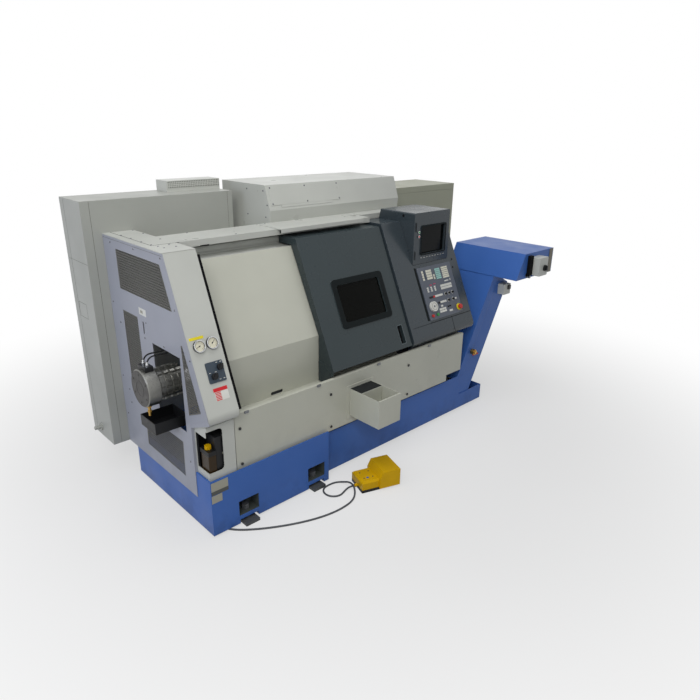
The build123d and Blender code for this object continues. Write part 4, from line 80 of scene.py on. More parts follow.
def set_camera():
    yaw, pitch, roll = (math.radians(a) for a in CAMERA_ANGLES)
    ahead = Vector((math.sin(yaw) * math.cos(pitch), math.cos(yaw) * math.cos(pitch), -math.sin(pitch)))
    right = Vector((math.cos(yaw), -math.sin(yaw), 0))
    up = right.cross(ahead)
    x_axis = right * math.cos(roll) + up * math.sin(roll)
    y_axis = up * math.cos(roll) - right * math.sin(roll)
    data = bpy.data.cameras.new("photo_camera")
    data.sensor_width = SENSOR_WIDTH
    data.lens = SENSOR_WIDTH * FOCAL_PIXELS / PHOTO_PIXELS
    data.clip_end = FAR_CLIP
    camera = shown("photo_camera", data)
    turn = Matrix((x_axis, y_axis, -ahead)).transposed().to_4x4()
    camera.matrix_world = Matrix.Translation(at(*CAMERA_PLACE)) @ turn
    bpy.context.scene.camera = camera


set_camera()


# Materials
LOW_STOP, HIGH_STOP = 0.3, 0.7


def linear(c):
    """Linear light from a display value of 0 to 255."""
    c = c / 255.0
    return c / 12.92 if c <= 0.04045 else ((c + 0.055) / 1.055) ** 2.4


def rgb(r, g, b):
    return (linear(r), linear(g), linear(b), 1.0)


def shade(colour, factor):
    return (colour[0] * factor, colour[1] * factor, colour[2] * factor, 1.0)


def grey(value):
    return (value, value, value, 1.0)


class Look:
    """Shader whose base colour and roughness both vary a little over the surface."""

    def __init__(self, name):
        self.material = bpy.data.materials.new(name)
        self.material.use_nodes = True
        self.tree = self.material.node_tree
        self.shader = self.tree.nodes["Principled BSDF"]

    def add(self, kind, **values):
        node = self.tree.nodes.new(kind)
        for key, value in values.items():
            if hasattr(node, key):
                setattr(node, key, value)
            else:
                node.inputs[key].default_value = value
        return node

    def join(self, out, into):
        self.tree.links.new(out, into)

    def coords(self, scale=(1, 1, 1)):
        place = self.add("ShaderNodeTexCoord")
        mapping = self.add("ShaderNodeMapping", Scale=scale)
        self.join(place.outputs["Object"], mapping.inputs["Vector"])
        return mapping.outputs["Vector"]

    def noise(self, scale, detail=3.0, stretch=(1, 1, 1)):
        node = self.add("ShaderNodeTexNoise", Scale=scale, Detail=detail)
        self.join(self.coords(stretch), node.inputs["Vector"])
        return node.outputs["Fac"]

    def ramp(self, value, stops):
        node = self.add("ShaderNodeValToRGB")
        while len(node.color_ramp.elements) < len(stops):
            node.color_ramp.elements.new(0.5)
        for element, (place, colour) in zip(node.color_ramp.elements, stops):
            element.position = place
            element.color = colour
        self.join(value, node.inputs["Fac"])
        return node.outputs["Color"]

    def mix(self, factor, a, b):
        node = self.add("ShaderNodeMix", data_type="RGBA")
        self.put(factor, node.inputs[0])
        self.put(a, node.inputs[6])
        self.put(b, node.inputs[7])
        return node.outputs[2]

    def times(self, a, b):
        node = self.add("ShaderNodeMath", operation="MULTIPLY")
        self.put(a, node.inputs[0])
        self.put(b, node.inputs[1])
        return node.outputs[0]

    def put(self, value, socket):
        if hasattr(value, "is_output"):
            self.join(value, socket)
        else:
            socket.default_value = value

    def bump(self, height, strength, distance, edge=0.0):
        node = self.add("ShaderNodeBump", Strength=strength, Distance=distance)
        self.join(height, node.inputs["Height"])
        if edge:
            softened = self.add("ShaderNodeBevel", samples=4, Radius=edge)
            self.join(softened.outputs["Normal"], node.inputs["Normal"])
        self.join(node.outputs["Normal"], self.shader.inputs["Normal"])

    def between(self, value, low, high):
        return self.ramp(value, ((LOW_STOP, low), (HIGH_STOP, high)))

    def colour(self, value, tone, low, high):
        shades = self.between(value, shade(tone, low), shade(tone, high))
        self.join(shades, self.shader.inputs["Base Color"])

    def gloss(self, value, low, high):
        self.join(self.between(value, grey(low), grey(high)), self.shader.inputs["Roughness"])

    def sheen(self, level):
        self.shader.inputs["Specular IOR Level"].default_value = level


def paint(name, colour, rough=0.42, vary=0.05, edge=0.002, peel=0.06, darken_amount=0.0, darken_top=0.5, sheen=0.4):
    """Sprayed paint on sheet: faint patchy tone, orange peel and patchy darkening towards the bottom."""
    m = Look(name)
    tone = m.between(m.noise(2.3, 4.0), shade(colour, 1 - vary), shade(colour, 1 + vary))
    # patches towards the bottom take a darker copy of the same colour
    if darken_amount:
        split = m.add("ShaderNodeSeparateXYZ")
        m.join(m.coords(), split.inputs["Vector"])
        low = m.ramp(split.outputs["Z"], ((0.0, grey(1.0)), (darken_top, grey(0.0))))
        patch = m.ramp(m.noise(9.0, 6.0), ((0.42, grey(0.0)), (0.62, grey(1.0))))
        tone = m.mix(m.times(m.times(low, patch), darken_amount), tone, shade(colour, 0.45))
    m.join(tone, m.shader.inputs["Base Color"])
    m.gloss(m.noise(6.0), rough - 0.05, rough + 0.06)
    m.sheen(sheen)
    m.bump(m.noise(420.0, 2.0), peel, 0.0004, edge)
    return m.material


def metal(name, colour, rough=0.3, stretch=(1, 1, 1), scale=60.0, vary=0.12, edge=0.001):
    """Bare metal with fine tool marks that run along one axis."""
    m = Look(name)
    marks = m.noise(scale, 4.0, stretch)
    m.colour(marks, colour, 1 - vary, 1 + vary)
    m.gloss(marks, rough - 0.08, rough + 0.1)
    m.shader.inputs["Metallic"].default_value = 1.0
    m.bump(marks, 0.12, 0.0006, edge)
    return m.material


def plastic(name, colour, rough=0.4, grain=0.05, vary=0.06, edge=0.001, sheen=0.4):
    """Moulded plastic or rubber with a fine grain."""
    m = Look(name)
    m.colour(m.noise(14.0), colour, 1 - vary, 1 + vary)
    m.gloss(m.noise(40.0), rough - 0.04, rough + 0.05)
    m.sheen(sheen)
    m.bump(m.noise(900.0, 2.0), grain, 0.0003, edge)
    return m.material


def cast(name, colour, rough=0.6):
    """Painted or bare casting with a sandy skin."""
    m = Look(name)
    m.colour(m.noise(5.0, 6.0), colour, 0.86, 1.1)
    m.gloss(m.noise(25.0), rough - 0.06, rough + 0.08)
    m.bump(m.noise(160.0, 5.0), 0.25, 0.0012, 0.003)
    return m.material


def glass(name, tint, rough=0.06, alpha=0.35, sheen=0.2):
    """Tinted pane that still shows what lies behind it."""
    m = Look(name)
    m.colour(m.noise(3.0), tint, 0.9, 1.1)
    m.gloss(m.noise(18.0), rough, rough + 0.04)
    m.sheen(sheen)
    m.shader.inputs["Alpha"].default_value = alpha
    return m.material


BEIGE = rgb(190, 192, 186)
CREAM = rgb(188, 189, 177)
LOOKS = {
    "beige": paint("beige_paint", BEIGE, rough=0.32, darken_amount=0.25, darken_top=0.35),
    "cream": paint("cream_paint", CREAM, rough=0.32, darken_amount=0.3, darken_top=0.6),
    # cabinet paint is the beige made darker as painted shade, for the cabinet that stands back from the
    # lamps
    "cabinet": paint("cabinet_shaded_paint", rgb(166, 168, 162), rough=0.4),
    # housing paint is the beige made darker and olive as painted shade of the rear housing
    "housing": paint("housing_shaded_paint", rgb(160, 162, 142), rough=0.4),
    "blue": paint("blue_paint", rgb(60, 102, 176), 0.38, edge=0.004, darken_amount=0.5, darken_top=0.2, sheen=0.25),
    # pocket paint is a dark grey that stands as painted shade inside the foot windows
    "pocket": paint("pocket_shade_paint", rgb(70, 76, 72), rough=0.6),
    "door_grey": paint("door_grey_paint", rgb(50, 60, 63), rough=0.28, peel=0.12, edge=0.004, sheen=0.3),
    "console_grey": paint("console_grey_paint", rgb(53, 62, 68), rough=0.26, peel=0.15, edge=0.004),
    "end_grey": paint("end_grey_paint", rgb(157, 160, 171), rough=0.45, darken_amount=0.35, darken_top=0.5),
    "mesh": paint("mesh_paint", rgb(112, 111, 107), rough=0.5, sheen=0.2),
    "casting": cast("bare_casting", rgb(70, 72, 74)),
    "steel": metal("ground_steel", rgb(170, 172, 175), stretch=(1, 12, 12)),
    "aluminium": metal("turned_aluminium", rgb(128, 128, 124), rough=0.34, stretch=(12, 1, 1)),
    "glass": glass("door_glass", rgb(12, 13, 11), alpha=0.9, sheen=0.05),
    "screen": plastic("screen_face", rgb(10, 13, 14), rough=0.12, grain=0.0, sheen=0.08),
    "keys": plastic("key_panel", rgb(86, 92, 103), rough=0.42),
    "black": plastic("black_plastic", rgb(24, 25, 27), rough=0.4, sheen=0.25),
    "yellow": plastic("yellow_plastic", rgb(208, 164, 4), rough=0.4, sheen=0.15),
    "red": plastic("red_plastic", rgb(190, 30, 26), rough=0.3),
    "green": plastic("green_plastic", rgb(30, 140, 60), rough=0.3),
    "white": plastic("white_plastic", rgb(218, 218, 212), rough=0.45),
    "clear": plastic("reservoir_plastic", rgb(52, 37, 15), rough=0.2, sheen=0.2),
    "gauge": plastic("gauge_case", rgb(40, 40, 42), rough=0.3),
    "rubber": plastic("cord_rubber", rgb(70, 72, 76), rough=0.5),
    "brass": metal("valve_brass", rgb(176, 142, 78), rough=0.38),
    "screw": metal("screw_steel", rgb(120, 122, 126), rough=0.4),
    "dial": plastic("dial_card", rgb(226, 222, 200), rough=0.6),
    "chrome": metal("bright_rim", rgb(205, 207, 209), rough=0.18),
    "gunmetal": cast("dark_cap_face", rgb(52, 50, 48), rough=0.5),
    "ink": plastic("dark_marks", rgb(40, 40, 42), rough=0.6),
    "gap": plastic("dark_gap", rgb(12, 12, 14), rough=0.8, sheen=0.1),
    "switch_grey": plastic("switch_plate", rgb(52, 64, 76), rough=0.42),
    "teal_key": plastic("teal_keys", rgb(160, 205, 198), rough=0.5),
    "cream_key": plastic("cream_keys", rgb(222, 220, 204), rough=0.5),
    "label_yellow": plastic("yellow_field", rgb(232, 214, 40), rough=0.5),
    "label_red": plastic("red_field", rgb(206, 34, 44), rough=0.5),
    "label_pink": plastic("pink_field", rgb(200, 60, 100), rough=0.5),
    "label_silver": paint("nameplate_silver", rgb(158, 156, 142), rough=0.4),
    "label_dark": paint("nameplate_band", rgb(74, 76, 72), rough=0.4),
    "seal": plastic("window_seal", rgb(20, 25, 26), rough=0.5, sheen=0.08),
    "rim": paint("handle_rim", rgb(84, 94, 98), rough=0.3),
    "mat": plastic("tray_mat", rgb(34, 36, 37), rough=0.8, grain=0.3, sheen=0.1),
    "seam": plastic("panel_seam", rgb(112, 112, 104), rough=0.7, sheen=0.2),
    "strap": paint("hood_strap", rgb(112, 108, 96), rough=0.5),
}
for name, node in nodes.items():
    slot_name = next(s["material_slot"] for s in frame["record"]["subparts"] if s["node"] == name)
    node.data.materials.clear()
    node.data.materials.append(LOOKS[slot_name])
# the rear housing gets a darker olive copy of the beige as painted shade
nodes["rear_housing"].data.materials[0] = LOOKS["housing"]
# the electric cabinet and its door get the darker beige of painted shade
for name in ("electric_cabinet", "cabinet_door"):
    nodes[name].data.materials[0] = LOOKS["cabinet"]
nodes["switch_plate"].data.materials[0] = LOOKS["switch_grey"]


# Floor, backdrop and light: a lamp has a place, a target, a size in metres, a power and a colour
FLOOR_REACH = 30.0
FLOOR_DARK, FLOOR_PALE = 0.54, 0.57
FLOOR_GLOW = 0.55
FADE_START, FADE_END = 1.2, 4.2
WORLD_COLOUR = (0.94, 0.96, 1.0, 1)
WORLD_LIGHT = 0.28
WHITE = (1.0, 1.0, 1.0, 1)
LAMPS = (
    ("key_light", (-2600, -2600, 4600), (900, 300, 900), 2.6, 104, (1, 0.99, 0.96)),
    ("top_light", (900, 200, 5200), (900, 500, 1000), 3.0, 74, (1, 1, 1)),
    ("left_light", (-4600, 900, 2200), (0, 700, 1000), 2.4, 52, (0.78, 0.84, 1.0)),
    ("front_light", (-700, -2900, 3000), (900, 500, 1500), 1.0, 16, (1, 1, 1)),
)


def seen_directly(tree):
    """One for camera, glossy and transmission rays, zero for the light that falls on the object."""
    path = tree.nodes.new("ShaderNodeLightPath")
    total = path.outputs["Is Camera Ray"]
    for name in ("Is Glossy Ray", "Is Transmission Ray"):
        add = tree.nodes.new("ShaderNodeMath")
        add.operation = "MAXIMUM"
        tree.links.new(total, add.inputs[0])
        tree.links.new(path.outputs[name], add.inputs[1])
        total = add.outputs[0]
    return total


def studio_floor():
    """Pale floor that keeps the shadow near the machine and fades to white further out."""
    m = Look("studio_floor")
    tone = m.between(m.noise(0.6, 3.0), grey(FLOOR_DARK), grey(FLOOR_PALE))
    m.join(tone, m.shader.inputs["Base Color"])
    m.shader.inputs["Roughness"].default_value = 0.9
    m.sheen(0.1)
    away = m.add("ShaderNodeVectorMath", operation="LENGTH")
    m.join(m.coords(), away.inputs[0])
    fade = m.add("ShaderNodeMapRange", interpolation_type="SMOOTHSTEP")
    fade.inputs["From Min"].default_value = FADE_START
    fade.inputs["From Max"].default_value = FADE_END
    fade.inputs["To Min"].default_value = FLOOR_GLOW
    m.join(away.outputs["Value"], fade.inputs["Value"])
    direct = m.times(fade.outputs["Result"], seen_directly(m.tree))
    glow = m.add("ShaderNodeEmission", Color=WHITE, Strength=1.0)
    both = m.add("ShaderNodeMixShader")
    m.join(direct, both.inputs["Fac"])
    m.join(m.shader.outputs[0], both.inputs[1])
    m.join(glow.outputs[0], both.inputs[2])
    m.join(both.outputs[0], m.tree.nodes["Material Output"].inputs["Surface"])
    mesh = bpy.data.meshes.new("studio_floor")
    r = FLOOR_REACH
    mesh.from_pydata([(-r, -r, 0), (r, -r, 0), (r, r, 0), (-r, r, 0)], [], [(0, 1, 2, 3)])
    floor = shown("studio_floor", mesh)
    mesh.materials.append(m.material)


def studio_world():
    world = bpy.data.worlds.new("studio_world")
    bpy.context.scene.world = world
    world.use_nodes = True
    tree = world.node_tree
    back = tree.nodes["Background"]
    back.inputs["Color"].default_value = WORLD_COLOUR
    back.inputs["Strength"].default_value = WORLD_LIGHT
    pale = tree.nodes.new("ShaderNodeBackground")
    pale.inputs["Color"].default_value = WHITE
    pale.inputs["Strength"].default_value = 1.0
    both = tree.nodes.new("ShaderNodeMixShader")
    tree.links.new(seen_directly(tree), both.inputs["Fac"])
    tree.links.new(back.outputs[0], both.inputs[1])
    tree.links.new(pale.outputs[0], both.inputs[2])
    tree.links.new(both.outputs[0], tree.nodes["World Output"].inputs["Surface"])


def studio_lamps():
    for name, place, target, size, power, colour in LAMPS:
        data = bpy.data.lights.new(name, "AREA")
        data.shape = "DISK"
        data.size = size
        data.energy = power
        data.color = colour
        lamp = shown(name, data)
        way = at(*target) - at(*place)
        lamp.rotation_euler = way.to_track_quat("-Z", "Y").to_euler()
        lamp.location = at(*place)


studio_floor()
studio_world()
studio_lamps()


# Foot switch cord, in stations: the gland, the loop on the floor, then the way to the base
CORD_RADIUS = 6
CORD = (
    (936.1, -169.5, 17), (904.9, -158.8, 17), (869, -159, 9), (835, -171, 6), (801, -176, 6),
    (769, -162, 6), (748, -134, 6), (744, -100, 6), (757, -67, 6), (785, -46, 6),
    (823, -41, 6), (869, -45, 6), (901, -62, 7), (920, -91, 13), (925, -127, 28),
    (921, -162, 35), (908, -197, 35), (886, -230, 19), (853, -256, 8), (810, -274, 6),
    (762, -282, 6), (698, -284, 6), (624, -276, 6), (548, -258, 6), (472, -232, 6),
    (396, -199, 6), (326, -163, 6), (261, -125, 6), (201, -84, 6), (146, -40, 6),
    (104, 8, 6), (78, 56, 8), (66, 100, 23), (62, 140, 40), (62, 178, 40),
)


def foot_cord():
    points = [at(*p) for p in CORD]
    data = bpy.data.curves.new("foot_cord", "CURVE")
    data.dimensions = "3D"
    spline = data.splines.new("NURBS")
    spline.points.add(len(points) - 1)
    for place, p in zip(spline.points, points):
        place.co = (p.x, p.y, p.z, 1.0)
    spline.order_u = 3
    spline.use_endpoint_u = True
    spline.resolution_u = 6
    data.bevel_depth = CORD_RADIUS * MM
    data.bevel_resolution = 4
    data.use_fill_caps = True
    data.materials.append(LOOKS["rubber"])
    piece = shown("foot_cord", data)
    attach(piece, "machine")
    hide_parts("footswitch_cord")


foot_cord()


# Mesh tools
class Face:
    """A flat working frame: x along the machine, y up the face, z out of it, in millimetres."""

    def __init__(self, origin, x_axis, y_axis):
        x_axis, y_axis = Vector(x_axis).normalized(), Vector(y_axis).normalized()
        turn = Matrix((x_axis, y_axis, x_axis.cross(y_axis))).transposed().to_4x4()
        self.place = Matrix.Translation(at(*origin)) @ turn @ Matrix.Scale(MM, 4)

    def __call__(self, x, y, z):
        return self.place @ Vector((x, y, z))


def leaning(foot_y, foot_z, lean):
    """Face that leans back by lean degrees; its x is the station X and its y runs up the slope."""
    lean = math.radians(lean)
    return Face((0, foot_y, foot_z), (1, 0, 0), (0, math.sin(lean), math.cos(lean)))


def facing_up(z):
    return Face((0, 0, z), (1, 0, 0), (0, 1, 0))


def facing_front(y):
    return Face((0, y, 0), (1, 0, 0), (0, 0, 1))


def facing_left(x):
    """Face that looks to the left; its x is minus the station Y."""
    return Face((x, 0, 0), (0, -1, 0), (0, 0, 1))


GAUGE_FOOT_Y, GAUGE_FOOT_Z, GAUGE_LEAN = -55, 732, 22.2
DOOR_FOOT_Y, CONSOLE_FOOT_Y, DOOR_FOOT_Z, DOOR_LEAN = 36, 20, 745, 24.65
END_OUTSIDE = -4
FLOOR = facing_up(0)
END = facing_left(END_OUTSIDE)
GAUGE = leaning(GAUGE_FOOT_Y, GAUGE_FOOT_Z, GAUGE_LEAN)
DOOR = leaning(DOOR_FOOT_Y, DOOR_FOOT_Z, DOOR_LEAN)
CONSOLE = leaning(CONSOLE_FOOT_Y, DOOR_FOOT_Z, DOOR_LEAN)


def gauge_up(z):
    """Way up the gauge cover's slope at a height."""
    return (z - GAUGE_FOOT_Z) / math.cos(math.radians(GAUGE_LEAN))


def door_up(z):
    """Way up the slope of door and console at a height."""
    return (z - DOOR_FOOT_Z) / math.cos(math.radians(DOOR_LEAN))


SCREW_TOP, SOCKET_TOP = 2.6, 2.9
SCREW_CROWN_SHARE, SOCKET_SHARE = 0.72, 0.4
SMOOTH_BELOW = 0.6
BEVEL_ABOVE = math.radians(40)


class Shape:
    """One piece made of boxes, plates, discs and rings, each with its own material."""

    def __init__(self, name, body="machine"):
        self.name, self.body = name, body
        self.verts, self.faces, self.looks, self.materials = [], [], [], []

    def add(self, points, faces, look):
        if look not in self.materials:
            self.materials.append(look)
        start = len(self.verts)
        self.verts += [tuple(p) for p in points]
        self.faces += [tuple(start + i for i in f) for f in faces]
        self.looks += [self.materials.index(look)] * len(faces)

    def prism(self, face, outline, low, high, look):
        """Closed outline on a face, raised from low to high."""
        n = len(outline)
        points = [face(x, y, low) for x, y in outline] + [face(x, y, high) for x, y in outline]
        sides = [(i, (i + 1) % n, n + (i + 1) % n, n + i) for i in range(n)]
        self.add(points, sides + [tuple(range(n - 1, -1, -1)), tuple(range(n, 2 * n))], look)

    def plate(self, face, x, y, low, high, look, corner=0.0):
        outline = ((x[0], y[0]), (x[1], y[0]), (x[1], y[1]), (x[0], y[1]))
        if corner:
            outline = rounded(x, y, corner, 4)
        self.prism(face, outline, low, high, look)

    def frame(self, face, x, y, border, low, high, look, corner, inner, steps=5):
        """Rounded frame round a rectangular hole."""
        outer = rounded(x, y, corner, steps)
        hole = rounded(grown(x, -border), grown(y, -border), inner, steps)
        self.ring_between(face, outer, hole, low, high, look)

    def ring_between(self, face, outer, hole, low, high, look):
        n = len(outer)
        points = [face(px, py, h) for h in (low, high) for loop in (outer, hole) for px, py in loop]
        faces = []
        for i in range(n):
            j = (i + 1) % n
            faces.append((2 * n + i, 2 * n + j, 3 * n + j, 3 * n + i))
            faces.append((j, i, n + i, n + j))
            faces.append((i, j, 2 * n + j, 2 * n + i))
            faces.append((n + j, n + i, 3 * n + i, 3 * n + j))
        self.add(points, faces, look)

    def disc(self, face, centre, radius, low, high, look, sides, top=None):
        top = radius if top is None else top
        angles = [math.tau * i / sides for i in range(sides)]
        x, y = centre
        points = [face(x + radius * math.cos(a), y + radius * math.sin(a), low) for a in angles]
        points += [face(x + top * math.cos(a), y + top * math.sin(a), high) for a in angles]
        walls = [(i, (i + 1) % sides, sides + (i + 1) % sides, sides + i) for i in range(sides)]
        caps = [tuple(range(sides - 1, -1, -1)), tuple(range(sides, 2 * sides))]
        self.add(points, walls + caps, look)

    def ring(self, face, centre, outer, inner, low, high, look, sides):
        angles = [math.tau * i / sides for i in range(sides)]
        x, y = centre
        rims = [[(x + r * math.cos(a), y + r * math.sin(a)) for a in angles] for r in (outer, inner)]
        self.ring_between(face, rims[0], rims[1], low, high, look)

    def box(self, x, y, z, look):
        self.plate(FLOOR, x, y, z[0], z[1], look)

    def screw(self, face, place, base=0.0, radius=6.0, look="screw"):
        self.disc(face, place, radius, base, base + SCREW_TOP, look, 14, radius * SCREW_CROWN_SHARE)
        self.disc(face, place, radius * SOCKET_SHARE, base + SCREW_TOP, base + SOCKET_TOP, "black", 6)

    def done(self, bevel=0.0, replaces=()):
        mesh = bpy.data.meshes.new(self.name)
        mesh.from_pydata(self.verts, [], self.faces)
        for look in self.materials:
            mesh.materials.append(LOOKS[look])
        mesh.polygons.foreach_set("material_index", self.looks)
        work = bmesh.new()
        work.from_mesh(mesh)
        bmesh.ops.recalc_face_normals(work, faces=work.faces)
        for edge in work.edges:
            edge.smooth = len(edge.link_faces) == 2 and edge.calc_face_angle(math.pi) < SMOOTH_BELOW
        for polygon in work.faces:
            polygon.smooth = True
        work.to_mesh(mesh)
        work.free()
        piece = shown(self.name, mesh)
        if bevel:
            soft = piece.modifiers.new("soft_edges", "BEVEL")
            soft.width = bevel * MM
            soft.segments = 2
            soft.limit_method = "ANGLE"
            soft.angle_limit = BEVEL_ABOVE
        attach(piece, self.body)
        for node in replaces:
            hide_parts(node)


def about(middle, half):
    return (middle - half, middle + half)


def grown(ends, amount):
    """A span made longer at both ends."""
    return (ends[0] - amount, ends[1] + amount)


def rounded(x, y, corner, steps):
    """Rectangle with round corners as a list of places."""
    places = []
    for cx, cy, start in ((x[1] - corner, y[0] + corner, -90), (x[1] - corner, y[1] - corner, 0),
                          (x[0] + corner, y[1] - corner, 90), (x[0] + corner, y[0] + corner, 180)):
        for i in range(steps + 1):
            a = math.radians(start + 90 * i / steps)
            places.append((cx + corner * math.cos(a), cy + corner * math.sin(a)))
    return places


def span(outline, value, axis):
    """Where a level line at value crosses a convex outline, as (low, high) on the other axis."""
    hits = []
    for a, b in zip(outline, outline[1:] + outline[:1]):
        if (a[axis] - value) * (b[axis] - value) < 0:
            share = (value - a[axis]) / (b[axis] - a[axis])
            hits.append(a[1 - axis] + share * (b[1 - axis] - a[1 - axis]))
    return (min(hits), max(hits)) if len(hits) > 1 else None


WEAVE_STEP, BORDER_STEP = 0.2, 0.3


def perforated(shape, face, outline, pitch, bar, low, high, look, border=7.0):
    """Sheet with square holes inside a convex outline, made of crossing strips and a border."""
    for axis in (0, 1):
        start = min(p[axis] for p in outline)
        stop = max(p[axis] for p in outline)
        count = int((stop - start) / pitch)
        for i in range(1, count + 1):
            value = start + i * (stop - start) / (count + 1)
            a, b = about(value, bar / 2)
            ends = (span(outline, a, axis), span(outline, b, axis))
            if not all(ends):
                continue
            corners = ((a, ends[0][0]), (a, ends[0][1]), (b, ends[1][1]), (b, ends[1][0]))
            if axis:
                corners = tuple((q, p) for p, q in corners)
            shape.prism(face, corners, low + WEAVE_STEP * axis, high - WEAVE_STEP * axis, look)
    middle = Vector((sum(p[0] for p in outline), sum(p[1] for p in outline))) / len(outline)
    inner = [tuple(Vector(p) + (middle - Vector(p)).normalized() * border) for p in outline]
    shape.ring_between(face, list(outline), inner, low - BORDER_STEP, high + BORDER_STEP, look)


# Left end: meshes, screws and the closed heel at its front in station Y and Z, labels in minus Y and Z
END_FRONT, END_STRIP = 150, 2
HEEL_OUTLINE = ((END_FRONT, 650), (END_FRONT, 676), (-36, 764), (-50, 737))
HEEL_LOW, HEEL_HIGH = -3, -1
CORNER_X, CORNER_Z = extent("corner_cover")[0], extent("corner_cover")[2]
MESH_PITCH, MESH_BAR, MESH_LOW, MESH_HIGH = 15.0, 4.6, -3.0, -1.2
GRILLES = (
    ((875, 1289), (875, 1524), (334, 1524), (243, 1290)),
    ((680, 690), (875, 690), (875, 1158), (680, 1158)),
    ((26, 782), (160, 722), (182, 1120), (168, 1126)),
    ((268, 288), (741, 300), (732, 518), (261, 518)),
)
END_SCREWS = (
    (937, 1553), (630, 1559), (315, 1559), (211, 1306), (930, 1065), (573, 1148), (610, 1048), (377, 1059),
    (928, 617), (923, 526), (94, 1060), (1005, 1180), (1005, 690), (640, 640), (190, 420), (1000, 420),
)
END_LABELS = (
    ((-648, -561), (1184, 1225), 0, 0.8, "white"),
    ((-632, -600), (1196, 1212), 0.8, 1.0, "label_silver"),
    ((-1034, -300), (1571, 1573), 0, 0.4, "seam"),
)


def left_end():
    mesh = Shape("end_grille_sheets")
    for outline in GRILLES:
        places = [(-y, z) for y, z in outline]
        perforated(mesh, END, places, MESH_PITCH, MESH_BAR, MESH_LOW, MESH_HIGH, "mesh")
    mesh.done(replaces=("end_grilles",))
    fittings = Shape("end_cover_fittings")
    for y, z in END_SCREWS:
        fittings.screw(END, (-y, z))
    for x, z, low, high, look in END_LABELS:
        fittings.plate(END, x, z, low, high, look)
    strip_y = (END_FRONT - END_STRIP, END_FRONT)
    fittings.box((0, CORNER_X[0]), strip_y, (CORNER_Z[0], HEEL_OUTLINE[0][1]), "end_grey")
    fittings.prism(END, [(-y, z) for y, z in HEEL_OUTLINE], HEEL_LOW, HEEL_HIGH, "end_grey")
    fittings.done()


left_end()


# Rotary cylinder: cap face, hose block and drain; a disc has a radius, a bottom, a top and its sides
CAP_X, CAP_Y, CAP_Z = extent("cylinder_cap")
CAP_RADIUS = (CAP_Y[1] - CAP_Y[0]) / 2
CAP_RIM, CAP_SKIN = 5.5, 0.8
SPINDLE = ((CAP_Y[0] + CAP_Y[1]) / 2, CAP_Z[0] + CAP_RADIUS)
COLLAR_OUTER, COLLAR_INNER, COLLAR_TOP = 46, 40, 2.0
CAP_SCREWS, CAP_SCREW_CIRCLE, CAP_SCREW_RADIUS = 6, 82, 7
BLOCK_X = (CAP_X[1] - 56.6, CAP_X[1] - 9.4)
BLOCK_HALF, BLOCK_SINK, BLOCK_RISE = 42.6, 30, 0.6
HOSE_SPREAD, DRAIN_SHIFT = 22, 6
HOSE_NUT = ((9, BLOCK_RISE, 12, 6), (6.5, 12, 26, 16))
DRAIN = ((14, -16, 2, 6), (8, -66, -16, 20), (12, -44, -34, 6))


def cylinder_fittings():
    bits = Shape("cylinder_fittings")
    end = facing_left(CAP_X[0])
    centre = (-SPINDLE[0], SPINDLE[1])
    bits.disc(end, centre, CAP_RADIUS - CAP_RIM, 0, CAP_SKIN, "gunmetal", 64)
    bits.ring(end, centre, COLLAR_OUTER, COLLAR_INNER, CAP_SKIN, COLLAR_TOP, "gunmetal", 48)
    for k in range(CAP_SCREWS):
        a = math.radians(360 * (k + 0.5) / CAP_SCREWS)
        place = (centre[0] + CAP_SCREW_CIRCLE * math.cos(a), centre[1] + CAP_SCREW_CIRCLE * math.sin(a))
        bits.screw(end, place, CAP_SKIN, CAP_SCREW_RADIUS, "gunmetal")
    block_z = (CAP_Z[1] - BLOCK_SINK, CAP_Z[1] + BLOCK_RISE)
    bits.box(BLOCK_X, about(SPINDLE[0], BLOCK_HALF), block_z, "black")
    pipe_x = (BLOCK_X[0] + BLOCK_X[1]) / 2
    top = facing_up(CAP_Z[1])
    for y in about(SPINDLE[0], HOSE_SPREAD):
        for radius, low, high, sides in HOSE_NUT:
            bits.disc(top, (pipe_x, y), radius, low, high, "chrome", sides)
    under = facing_up(CAP_Z[0])
    for radius, low, high, sides in DRAIN:
        bits.disc(under, (pipe_x - DRAIN_SHIFT, SPINDLE[0]), radius, low, high, "brass", sides)
    bits.done(bevel=0.6)


cylinder_fittings()


# Gauges on the leaning cover
GAUGE_PLACES = ((57, 1123), (134, 1125))
GAUGE_HANDS = (200, 40)
CASE_RADIUS, CASE_BORE, CASE_TOP = 33, 28, 15
RIM_RADIUS, RIM_BORE, RIM_TOP = 32.5, 28.4, 17
DIAL_RADIUS, DIAL_TOP = 28.2, 9
TICKS, FIRST_TICK, TICK_STEP = 13, 225, 22.5
LONG_TICK, SHORT_TICK, LONG_EVERY = 5.0, 3.0, 3
TICK_CIRCLE, TICK_HALF, TICK_TOP = 24.5, 0.6, 9.3
HAND_OUTLINE = ((-7, -1.4), (21, -0.5), (21, 0.5), (-7, 1.4))
HAND_LOW, HAND_HIGH = 10.2, 11.2
HUB_RADIUS, HUB_TOP = 3.4, 12


def turned(face, place, angle):
    """Working frame on a face, moved to a place and turned about its normal."""
    frame_there = facing_up(0)
    frame_there.place = face.place @ Matrix.Translation((*place, 0)) @ Matrix.Rotation(angle, 4, "Z")
    return frame_there


